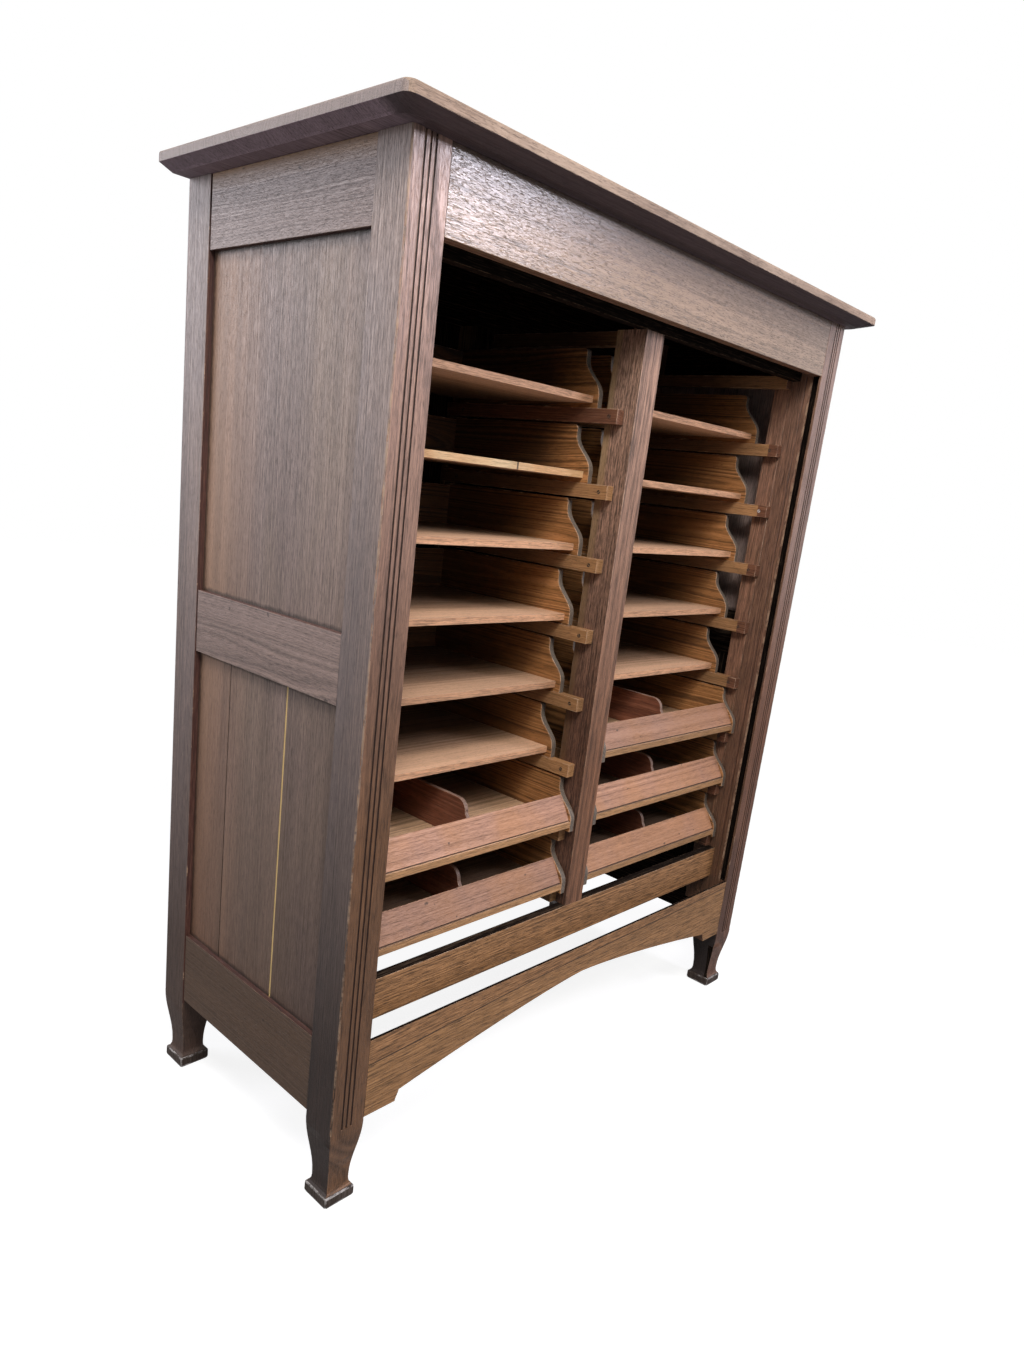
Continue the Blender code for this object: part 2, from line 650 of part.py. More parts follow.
def make_wall_runners(side, name, spare):
    """Runners against the case's side, joined to the two stiles that carry them."""
    outer = POST_INNER - FIT_GAP
    runners = []
    for top in runner_tops(spare):
        clears_head_rail = top < HEAD_RAIL_BOTTOM
        front = WALL_RUNNER_FRONT if clears_head_rail else POST_SIZE + FIT_GAP
        low = (outer - RUNNER_WIDTH, front, top - RUNNER_HEIGHT)
        high = (outer, RUNNER_REAR, top)
        runners.append(on_side(side, (low, high)))
    stiles = []
    for front in (POST_SIZE + FIT_GAP, REAR_POST_FRONT - FIT_GAP - STILE_DEPTH):
        low = (POST_INNER - STILE_PROUD, front, STILE_BOTTOM)
        high = (SIDE_RAIL_INNER - FIT_GAP, front + STILE_DEPTH, STILE_TOP)
        stiles.append(on_side(side, (low, high)))
    made = stain(add_object(name, boxes_mesh(name, runners), cabinet), RUNNER_WOOD)
    work(made, boxes_tool(name + "_stiles", stiles), "UNION")


def make_centre_runners(side, name, spare):
    """Runners against the centre posts, joined to a batten behind the trays."""
    inner = CENTRE_POST_HALF + FIT_GAP
    tops = runner_tops(spare)
    runners = []
    for top in tops:
        low = (inner, CENTRE_RUNNER_FRONT, top - RUNNER_HEIGHT)
        runners.append(on_side(side, (low, (inner + RUNNER_WIDTH, RUNNER_REAR, top))))
    low = (inner + CUT_OVERRUN, RUNNER_REAR - BATTEN_THICKNESS, tops[-1] - RUNNER_HEIGHT / 2)
    high = (inner + RUNNER_WIDTH - CUT_OVERRUN, RUNNER_REAR - CUT_OVERRUN, tops[0] - CUT_OVERRUN)
    made = stain(add_object(name, boxes_mesh(name, runners), cabinet), RUNNER_WOOD)
    work(made, boxes_tool(name + "_batten", [on_side(side, (low, high))]), "UNION")


def tray_side_outline(length):
    """A tray side in depth and height: a toe, an ogee set back above it, and a square rear."""
    outline = [(length, 0), (0, 0)]
    for step in range(CURVE_STEPS + 1):
        share = step / CURVE_STEPS
        height = OGEE_BOTTOM + (OGEE_TOP - OGEE_BOTTOM) * share
        outline.append((OGEE_SET_BACK * eased(share), height))
    corner_steps = CURVE_STEPS // 2
    for step in range(corner_steps + 1):
        angle = math.pi / 2 * step / corner_steps
        depth = OGEE_SET_BACK + SIDE_CORNER_RADIUS * (1 - math.cos(angle))
        height = TRAY_SIDE_HEIGHT - SIDE_CORNER_RADIUS * (1 - math.sin(angle))
        outline.append((depth, height))
    outline.append((length, TRAY_SIDE_HEIGHT))
    return outline


def tray_mesh(name, length, floor_setback):
    """Two shaped sides, a floor housed between them and a back board, as one tray."""
    outline = tray_side_outline(length)
    sides = []
    for side in (-1, 1):
        mesh = plate_mesh(name, outline, TRAY_SIDE_THICKNESS, LENGTHWISE)
        middle = side * (TRAY_HALF_WIDTH - TRAY_SIDE_THICKNESS / 2)
        mesh.transform(Matrix.Translation((middle, 0, 0)))
        sides.append(tool(f"{name}_side", mesh))
    half = TRAY_HALF_INSIDE + FLOOR_HOUSING
    rear = length - BACK_BOARD_SETBACK
    floor = boxes_tool(
        name + "_floor",
        [((-half, floor_setback, FLOOR_RISE), (half, rear - FIT_GAP, FLOOR_TOP))],
    )
    back_low = (-half + FIT_GAP, rear - BACK_BOARD_THICKNESS, FLOOR_RISE + FIT_GAP)
    back_high = (half - FIT_GAP, rear, TRAY_SIDE_HEIGHT - BACK_BOARD_DROP)
    back = boxes_tool(name + "_back", [(back_low, back_high)])
    pattern = sides[0]
    for other in (sides[1], floor, back):
        work(pattern, other, "UNION")
    mesh = finished_mesh(pattern)
    for other in (sides[1], floor, back):
        bpy.data.objects.remove(other)
    return mesh


def drawer_front_mesh():
    """A drawer's leaning front board, cut level where it stands on the floor."""
    foot = FLOOR_TOP + FIT_GAP
    face_top = (
        FRONT_SETBACK + FRONT_HEIGHT * math.sin(FRONT_LEAN),
        foot + FRONT_HEIGHT * math.cos(FRONT_LEAN),
    )
    rear_top = (
        face_top[0] + FRONT_THICKNESS * math.cos(FRONT_LEAN),
        face_top[1] - FRONT_THICKNESS * math.sin(FRONT_LEAN),
    )
    outline = [
        (FRONT_SETBACK, foot),
        face_top,
        rear_top,
        (FRONT_SETBACK + FRONT_FOOT_DEPTH, foot),
    ]
    width = 2 * (TRAY_HALF_INSIDE - FIT_GAP)
    return plate_mesh("drawer_front", outline, width, LENGTHWISE)


def worn_corner_mesh():
    """What is missing outside the round upper left corner of one drawer front."""
    across, up = [], []
    for step in range(CURVE_STEPS + 1):
        angle = math.pi / 2 * step / CURVE_STEPS
        across.append(WORN_CORNER_RADIUS * (1 - math.sin(angle)))
        up.append(FRONT_HEIGHT - WORN_CORNER_RADIUS * (1 - math.cos(angle)))
    corner = [(-CUT_OVERRUN, up[-1]), (-CUT_OVERRUN, FRONT_HEIGHT + CUT_OVERRUN)]
    corner.append((across[0], FRONT_HEIGHT + CUT_OVERRUN))
    outline = corner + list(zip(across, up))
    thickness = 2 * (FRONT_THICKNESS + CUT_OVERRUN)
    lean = Matrix.Rotation(-FRONT_LEAN, 4, "X")
    mesh = plate_mesh("worn_corner", outline, thickness, lean @ CROSSWISE)
    left = FIT_GAP - TRAY_HALF_INSIDE
    mesh.transform(Matrix.Translation((left, FRONT_SETBACK, FLOOR_TOP + FIT_GAP)))
    return mesh


def divider_outline():
    """The board down a drawer's middle: its front follows the leaning board, then rounds over."""
    foot = FLOOR_TOP + FIT_GAP
    start = FRONT_SETBACK + FRONT_FOOT_DEPTH + FIT_GAP / math.cos(FRONT_LEAN)
    round_foot = DIVIDER_TOP - DIVIDER_ROUND
    front = start + (round_foot - foot) * math.tan(FRONT_LEAN)
    rear = DRAWER_LENGTH - BACK_BOARD_SETBACK - BACK_BOARD_THICKNESS - FIT_GAP
    outline = [(rear, foot), (start, foot)]
    for step in range(CURVE_STEPS + 1):
        angle = math.pi / 2 * step / CURVE_STEPS
        depth = front + DIVIDER_ROUND * (1 - math.cos(angle))
        outline.append((depth, round_foot + DIVIDER_ROUND * math.sin(angle)))
    outline.append((rear, DIVIDER_TOP))
    return outline


def make_trays():
    """The sliding trays and drawers of both columns, each standing on its two runners."""
    tray = tray_mesh("open_tray", OPEN_TRAY_LENGTH, OPEN_FLOOR_SETBACK)
    drawer = tray_mesh("drawer", DRAWER_LENGTH, DRAWER_FLOOR_SETBACK)
    front = drawer_front_mesh()
    divider = plate_mesh("divider", divider_outline(), DIVIDER_THICKNESS, LENGTHWISE)
    for side, name, drawers in ((-1, "left", LEFT_DRAWERS), (1, "right", RIGHT_DRAWERS)):
        for level, runner_top in enumerate(runner_tops(False), 1):
            is_open = level <= LEVEL_COUNT - drawers
            length = OPEN_TRAY_LENGTH if is_open else DRAWER_LENGTH
            place = (side * COLUMN_MIDDLE, TRAY_REAR - length, runner_top + FIT_GAP)
            if is_open:
                stain(add_object(f"{name}_tray_{level}", tray, cabinet, place), TRAY_WOOD)
                continue
            drawer_name = f"{name}_drawer_{level}"
            stain(add_object(drawer_name, drawer, cabinet, place), TRAY_WOOD)
            own_front = front.copy()
            stain(add_object(drawer_name + "_front", own_front, cabinet, place), FRONT_WOOD)
            stain(add_object(drawer_name + "_divider", divider, cabinet, place), DIVIDER_WOOD)


def wear_drawer_corner():
    """Rounds the upper left corner of one front in the right column, as it is on the cabinet."""
    level = LEVEL_COUNT + 1 - WORN_DRAWER_FROM_BELOW
    front = bpy.data.objects[f"right_drawer_{level}_front"]
    corner = tool("worn_corner", worn_corner_mesh())
    corner.location = front.location
    cut([front], corner)


def make_cabinet():
    posts = {}
    for side, name in ((-1, "left"), (1, "right")):
        front_post = make_post(f"post_front_{name}", side, 0)
        rear_post = make_post(f"post_rear_{name}", side, REAR_POST_FRONT)
        make_reeds(front_post, side)
        make_shutter_grooves(front_post, side)
        make_side(side, name, front_post, rear_post)
        posts[name] = (front_post, rear_post)
    front_posts = (posts["left"][0], posts["right"][0])
    rear_posts = (posts["left"][1], posts["right"][1])

    make_top_board()
    outer = (FRONT_RAIL_SETBACK, FRONT_RAIL_REAR)
    make_cross_rail("front_top_rail", *outer, FRONT_TOP_RAIL_BOTTOM, POST_TOP, front_posts)
    inner = (INNER_RAIL_FRONT, POST_SIZE)
    head = make_cross_rail(
        "inner_head_rail", *inner, HEAD_RAIL_BOTTOM, HEAD_RAIL_TOP, front_posts
    )
    lower = make_cross_rail(
        "lower_front_rail", *inner, LOWER_RAIL_BOTTOM, LOWER_RAIL_TOP, front_posts
    )
    make_centre_post(
        "centre_post_front",
        INNER_RAIL_FRONT,
        INNER_RAIL_FRONT + CENTRE_POST_DEPTH,
        (INNER_RAIL_FRONT + POST_SIZE) / 2,
        lower,
        LOWER_RAIL_TOP,
        head,
        HEAD_RAIL_BOTTOM,
    )
    make_apron(front_posts)
    make_back(rear_posts)
    for side, name, spare in ((-1, "left", False), (1, "right", True)):
        make_wall_runners(side, f"{name}_wall_runners", spare)
        make_centre_runners(side, f"{name}_centre_runners", spare)
    make_trays()
    wear_drawer_corner()


make_cabinet()
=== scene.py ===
"""The looks of the notary cabinet: old stained oak, worn by hand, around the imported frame.

Lengths are in metres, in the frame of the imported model: x runs right, y back and z up, and the
cabinet stands on the floor over the origin. Each board carries three marks that its wood reads:
where a point lies in the tree it was cut from, where it lies in the board, and the board's reach.
"""

import json
import math
import random
from functools import partial

import bmesh
import bpy
import numpy as np
from mathutils import Matrix, Vector, noise

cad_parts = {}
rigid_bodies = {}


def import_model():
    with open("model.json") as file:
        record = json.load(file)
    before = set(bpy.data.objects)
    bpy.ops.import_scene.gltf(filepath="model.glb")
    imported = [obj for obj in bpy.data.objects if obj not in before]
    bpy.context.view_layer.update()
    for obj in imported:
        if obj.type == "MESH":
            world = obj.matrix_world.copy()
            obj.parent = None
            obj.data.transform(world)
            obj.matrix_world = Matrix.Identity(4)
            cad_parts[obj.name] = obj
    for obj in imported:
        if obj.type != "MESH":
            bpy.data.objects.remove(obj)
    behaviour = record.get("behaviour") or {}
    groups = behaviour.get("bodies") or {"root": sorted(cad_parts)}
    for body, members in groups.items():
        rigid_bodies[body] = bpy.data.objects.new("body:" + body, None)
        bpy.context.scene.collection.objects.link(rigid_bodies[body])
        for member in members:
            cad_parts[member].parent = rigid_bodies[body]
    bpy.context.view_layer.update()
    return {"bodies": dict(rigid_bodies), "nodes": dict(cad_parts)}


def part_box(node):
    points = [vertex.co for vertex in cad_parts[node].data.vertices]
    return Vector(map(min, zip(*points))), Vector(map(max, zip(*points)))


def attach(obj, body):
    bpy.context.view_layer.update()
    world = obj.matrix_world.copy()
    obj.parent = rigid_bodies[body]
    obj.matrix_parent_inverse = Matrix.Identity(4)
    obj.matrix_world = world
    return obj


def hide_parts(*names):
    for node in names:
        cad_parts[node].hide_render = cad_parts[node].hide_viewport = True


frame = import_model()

bl_info = {
    "name": "Notary cabinet finish",
    "version": (1, 0, 0),
    "blender": (4, 5, 0),
    "location": "3D View > Sidebar > Cabinet",
    "description": "Dresses the packed notary cabinet in old stained oak and lights it",
    "category": "Object",
}

MM = 0.001
SIDES = (("left", -1), ("right", 1))

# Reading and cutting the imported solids
WELD = 0.01 * MM
CUT_REACH = 0.001 * MM
FLAT_ANGLE = math.radians(0.5)
SHARP_ANGLE = math.radians(35)
NEAR = 0.4 * MM

# How squarely a face or an edge lies to an axis, as the least share of its direction
LOOSELY = 0.3
DIVIDER_FACE = 0.5
MOSTLY = 0.6
TOP_END = 0.75
SQUARELY = 0.9

# The posts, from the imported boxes, and the heights of their legs, pads and the feet's dark finish
POST_LOW, POST_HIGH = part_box("post_front_left")
POST_SIZE = POST_HIGH.x - POST_LOW.x
POST_INNER = -POST_LOW.x - POST_SIZE
FRONT_FACE = POST_LOW.y
REAR_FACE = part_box("post_rear_left")[1].y
LEG_TOP = 138 * MM
FOOT_TOP = 22 * MM
PAD_TOP = 20 * MM

# How far in from a post's outer face the recess for the panels begins
REVEAL_DEPTH = 4 * MM

# Front posts' reeds: where they lie from the outer face, how deep, and how much of their top is bare
REEDS_FROM = 17.5 * MM
REEDS_TO = 39.5 * MM
REEDS_SHALLOW = 1 * MM
REEDS_DEEP = 3 * MM
REEDS_BARE = 12 * MM

# The shutter's grooves in the front posts: how far behind the front, and how deep in the inner face
GROOVE_FRONT = 5 * MM
GROOVE_REAR = 17 * MM
GROOVE_SHALLOW = 2.5 * MM
GROOVE_DEEP = 11 * MM

# The open joint in the lower side panels, and how far below their faces its tongue lies
JOINT_FRONT = -41 * MM
JOINT_REAR = -37 * MM
TONGUE_SUNK = 0.2 * MM
TONGUE_THICKNESS = 3 * MM

# Runners and the stiles and battens that carry them
FIRST_RUNNER_TOP = 1234 * MM
SPARE_RISE = 135 * MM
LEVELS = 8
PITCH = 123.7 * MM
RUNNER_WIDTH = 18 * MM
RUNNER_HEIGHT = 24 * MM
STAINED_END = 20 * MM
STILE_DEPTH = 35 * MM
STILE_GAP = 0.1 * MM
STILE_FACE = 1.5 * MM
BATTEN_THICKNESS = 12 * MM
PLAY = 0.3 * MM

# Trays and drawers, with the least forward slope of the curve that shapes their sides' ends
SIDE_THICKNESS = 12 * MM
FLOOR_RISE = 8 * MM
FLOOR_TOP = 19.5 * MM
TRAY_BACK_FRONT = 11.5 * MM
BOARD_GAP = 0.05 * MM
SHAPED_END = 0.35

# Screws in the runners and nails in the trays
SCREW_FROM_FRONT = 17 * MM
SCREW_FROM_REAR = 45 * MM
FLOOR_NAILS = 5
NAIL_FROM_FRONT = 35 * MM
NAIL_FROM_REAR = 25 * MM
NAIL_IN_FLOOR = 5.5 * MM
NAIL_IN_BACK = 6 * MM
BACK_NAIL_HEIGHTS = (38 * MM, 74 * MM)

# The shake along the apron's grain, as (x, z)
APRON_SHAKE = [(-0.519, 0.2305), (-0.12, 0.2490), (0.519, 0.2580)]
SHAKE_WIDTH = 2 * MM

# Trays that differ: one with a pale front edge and a nick in it, two of flamed wood, three whose floors are
# painted dark as shade
PALE_TRAY = "left_tray_2"
NICK = (-210 * MM, -206 * MM)
FLAMED_TRAYS = ("left_tray_1", "left_tray_2")
SHADED_DRAWERS = ("left_drawer_8", "right_drawer_7", "right_drawer_8")

# Only the top board's edges that are longer than this are rounded, not those across its corners
LONG_EDGE = 50 * MM

# How wide the boards of the glued-up panels are against each other
TOP_PLANKS = (5, 6, 5, 6)
BACK_PLANKS = (5, 6, 4, 6)
SIDE_PLANKS = (9, 12, 8, 5)

# How light the boards of the side panels and the posts are against each other; for the posts this is partly
# painted light and shade, the right front post darkest and the rear left lightest
SIDE_TONES = (-0.6, -0.1, 0.5, 1.6)
LOWER_TONES = {"front": -0.8, "middle": 0.6, "rear": 0.3}
POST_TONE_AND_LIGHT = {"post_front_left": 0, "post_front_right": -2.0, "post_rear_left": 1.2, "post_rear_right": 0.6}

# Chips: how far apart an edge is cut for them, and how many coarse and fine ones there are a metre
POST_CHIP_STEP = 8 * MM
TOP_CHIP_STEP = 9 * MM
COARSE_CHIPS = 70
FINE_CHIPS = 190

# How far a plain or a quarter sawn board lies from the pith, its grain's slope, and the log's length
PLAIN_PITH = 35 * MM
QUARTER_PITH = 220 * MM
GRAIN_SLOPE = 0.012
LOG_LENGTH = 6.0

# How far the dirt and painted shade along a panel's frame wander in and out
DIRT_AND_SHADE_SWAY = 6 * MM

# Kinds of face that the woods tell apart; the second is dark with dirt, and along the drawers' lower edges
# painted shadow
WORN = 1
GRIME_AND_SHADE = 2

# Where the dark, the middle and the light wood lie in the figure
DARK_AT, MID_AT, LIGHT_AT = 0.30, 0.50, 0.72

# The camera as it was solved on the photo
CAMERA_PLACE = (-1.3427, -1.1432, 1.0958)
CAMERA_RIGHT = (0.68945, -0.71557, 0.11195)
CAMERA_UP = (0.10167, 0.24866, 0.96314)
CAMERA_SHIFT = (0.01530, 0.0257)
SENSOR_WIDTH = 36
NEAREST_SEEN = 0.05

# The lamps: place, the point each looks at, width, height, colour
WARM_LIGHT = (1, 0.97, 0.94)
LAMPS = {
    "key": ((-1.5, -1.5, 3.0), (0, -0.2, 1.0), 0.8, 0.8, WARM_LIGHT),
    "low_front": ((-0.9, -1.9, 2.5), (0, -0.1, 0.9), 0.8, 0.8, WARM_LIGHT),
    "front_sheen": ((1.12, -1.95, 2.15), (-0.4, -0.23, 1.4), 0.5, 0.5, (0.88, 0.87, 1)),
    "side_sheen": ((-1.9, 1.9, 1.9), (-0.58, 0.1, 1.25), 1.3, 1.1, (0.91, 0.92, 1)),
}

# The floor and the surround: how bright they look, and where near floor gives way to far
FLOOR_RADIUS = 9
NEAR_FLOOR, FAR_FLOOR = 1.0, 2.4
NEAR_GLOW, FAR_GLOW = 0.86, 1.02
AIR_COLOUR = (0.97, 0.98, 1, 1)
WHITE = (1, 1, 1, 1)


def linear(hex_colour):
    """The linear colour of an sRGB hex value."""
    shares = [int(hex_colour[place : place + 2], 16) / 255 for place in (1, 3, 5)]
    return (
        *(s / 12.92 if s <= 0.04045 else ((s + 0.055) / 1.055) ** 2.4 for s in shares),
        1.0,
    )


def stain(name, hex_colour, description):
    """A colour that the user can change."""
    return bpy.props.FloatVectorProperty(
        name=name,
        description=description,
        default=linear(hex_colour),
        size=4,
        min=0,
        max=1,
        subtype="COLOR",
    )


def length(name, metres, description):
    """A length that the user can change."""
    return bpy.props.FloatProperty(
        name=name, description=description, default=metres, min=0, unit="LENGTH"
    )


def share(name, value, description):
    """A share from 0 to 1 that the user can change."""
    return bpy.props.FloatProperty(
        name=name, description=description, default=value, min=0, max=1, subtype="FACTOR"
    )


def power(name, watts, description):
    """A lamp's power that the user can change."""
    return bpy.props.FloatProperty(name=name, description=description, default=watts, unit="POWER")


class CabinetStains(bpy.types.PropertyGroup):
    """Middle colours of the cabinet's woods and metals."""

    post_side: stain("Posts, sides", "#96827a", "Outer side faces of the posts")
    post_front: stain("Posts, fronts", "#a28276", "Front faces of the posts")
    rail_side: stain("Side rails", "#94807a", "Rails of the framed sides")
    panel: stain("Side panels", "#8b7872", "Panels of the framed sides")
    top_face: stain("Top", "#8d7666", "Upper face and long edges of the top board")
    top_end: stain("Top ends", "#94847f", "End grain of the top board")
    underside: stain("Top underside", "#907b84", "Underside of the top board")
    front_rail: stain("Front rail", "#98806f", "Face of the front top rail")
    warm_front: stain("Lower front", "#9a7552", "Lower front rail and apron")
    apron_foot: stain("Apron, lower part", "#a27d57", "Lower front below the apron's shake")
    centre_front: stain("Centre post", "#9c7a68", "Front face of the centre post")
    centre_side: stain("Centre post, sides", "#9c7c6a", "Side faces of the centre post")
    reveal: stain("Reveals", "#4a2d27", "Recessed edges of the frame beside the panels")
    inner: stain("Inner faces", "#86624f", "Faces of the frame that look into the case")
    # Near-black painted shade for faces deep in the case
    hidden: stain("Hidden faces", "#16100d", "Frame wood deep in the case")
    back: stain("Back", "#7f6041", "Bare boards of the back")
    runner: stain("Runners", "#a2774e", "Runners")
    runner_end: stain("Runner ends", "#6e4632", "Stained front ends of the right runners")
    tray_side: stain("Tray sides", "#9a6a3e", "Varnished sides of the trays")
    tray_floor: stain("Tray floors", "#bb9877", "Floors of the trays")
    floor_edge: stain("Floor edges", "#be906f", "Front edges of the trays' floors")
    pale_edge: stain("Pale floor edge", "#dfc095", "Bare front edge of one tray's floor")
    base_edge: stain("Drawer base edge", "#ab8058", "Front edges of the drawers' bases")
    drawer_front: stain("Drawer fronts", "#a57b66", "Leaning fronts of the drawers")
    # Partly a painted reflection of pale sky
    tray_end: stain("Tray side ends", "#6b6056", "Aged front ends of the trays' sides")
    divider_edge: stain("Divider edges", "#7f6558", "Rubbed narrow faces of the dividers")
    divider: stain("Dividers", "#7f4c38", "Dividers of the drawers")
    bare: stain("Bare wood", "#b89a80", "Wood where the stain has worn through")
    tongue: stain("Bare tongue", "#e8c584", "Unstained tongue in the open joint")
    foot: stain("Feet", "#36281f", "Pad feet")
    scuffed: stain("Scuffed edges", "#b4aeac", "Scuffed edges of the pad feet")
    # Also the colour that the painted shade deep in the case, along the frames and under the drawers'
    # fronts turns to
    soot_and_shade: stain("Grime", "#251a16", "Old dirt in grooves, joints and pores")
    iron: stain("Old screws", "#5b514a", "Dull iron of the old screws")
    steel: stain("New screw", "#dcdcde", "Bright steel of the newer screw")


class CabinetWear(bpy.types.PropertyGroup):
    """Sizes of the worn edges, of the grain's relief and of the fixings."""

    arris: length("Arris", 0.9 * MM, "Width of the round on the frame's edges")
    knocked_arris: length("Knocked arris", 2.2 * MM, "Width of the round on the posts' outer edges")
    worn_end: length("Worn end", 3.2 * MM, "Width of the round on the shaped ends of the trays' sides")
    fine_arris: length("Fine arris", 0.6 * MM, "Width of the round on the trays' edges")
    chip_depth: length("Chip depth", 1.6 * MM, "How deep the chips in the knocked edges are")
    edge_wear: length("Edge wear", 2.2 * MM, "How far the worn colour reaches from an edge")
    pore_depth: length("Pore depth", 0.3 * MM, "Depth of the grain in the surface")
    screw_head: length("Screw head", 7.0 * MM, "Diameter of the screw heads")
    nail_head: length("Nail head", 3.0 * MM, "Diameter of the nail heads")
    seed: bpy.props.IntProperty(name="Seed", description="Seed of the screws' turn", default=7)


class CabinetStage(bpy.types.PropertyGroup):
    """Camera, lamps and floor."""

    lens: bpy.props.FloatProperty(
        name="Lens",
        description="Focal length of the camera",
        default=24.587,
        min=1,
        subtype="DISTANCE_CAMERA",
    )
    key: power("Key lamp", 60, "Power of the high lamp at the front")
    low_front: power("Low lamp", 21, "Power of the lamp that looks into the trays")
    front_sheen: power("Front sheen", 29, "Power of the lamp that the front's upper part mirrors")
    side_sheen: power("Side sheen", 30, "Power of the lamp that the left side's upper part mirrors")
    air_light: share("Air light", 0.14, "Strength of the light from all round")
    floor_grey: share("Floor", 0.36, "How light the floor is to everything but the camera")


def add_node(tree, kind, links=(), ramp=None, **settings):
    """Adds a node with its settings and its inputs, which are named or given in order.

    An input is a value, a socket to join, or a node whose first output in use is joined.
    """
    node = tree.nodes.new(kind)
    for name, value in settings.items():
        setattr(node, name, value)
    if not isinstance(links, dict):
        links = dict(enumerate(links))
    for key, value in links.items():
        if isinstance(value, bpy.types.Node):
            value = next(output for output in value.outputs if output.enabled)
        if isinstance(value, bpy.types.NodeSocket):
            tree.links.new(value, node.inputs[key])
        else:
            node.inputs[key].default_value = value
    if ramp:
        stops = node.color_ramp.elements
        for place, colour in ramp[1:-1]:
            stops.new(place).color = colour
        stops[0].position, stops[0].color = ramp[0]
        stops[len(stops) - 1].position, stops[len(stops) - 1].color = ramp[-1]
    return node


def emptied(owner):
    """The node tree of a material or a world, with nothing in it."""
    owner.use_nodes = True
    owner.node_tree.nodes.clear()
    return owner.node_tree


def mixed(colour, other, amount):
    """A colour part of the way to another."""
    return tuple(a + (b - a) * amount for a, b in zip(colour, other))


def scaled(colour, by):
    """A colour made lighter or darker."""
    return (*(min(1.0, channel * by) for channel in colour[:3]), 1.0)


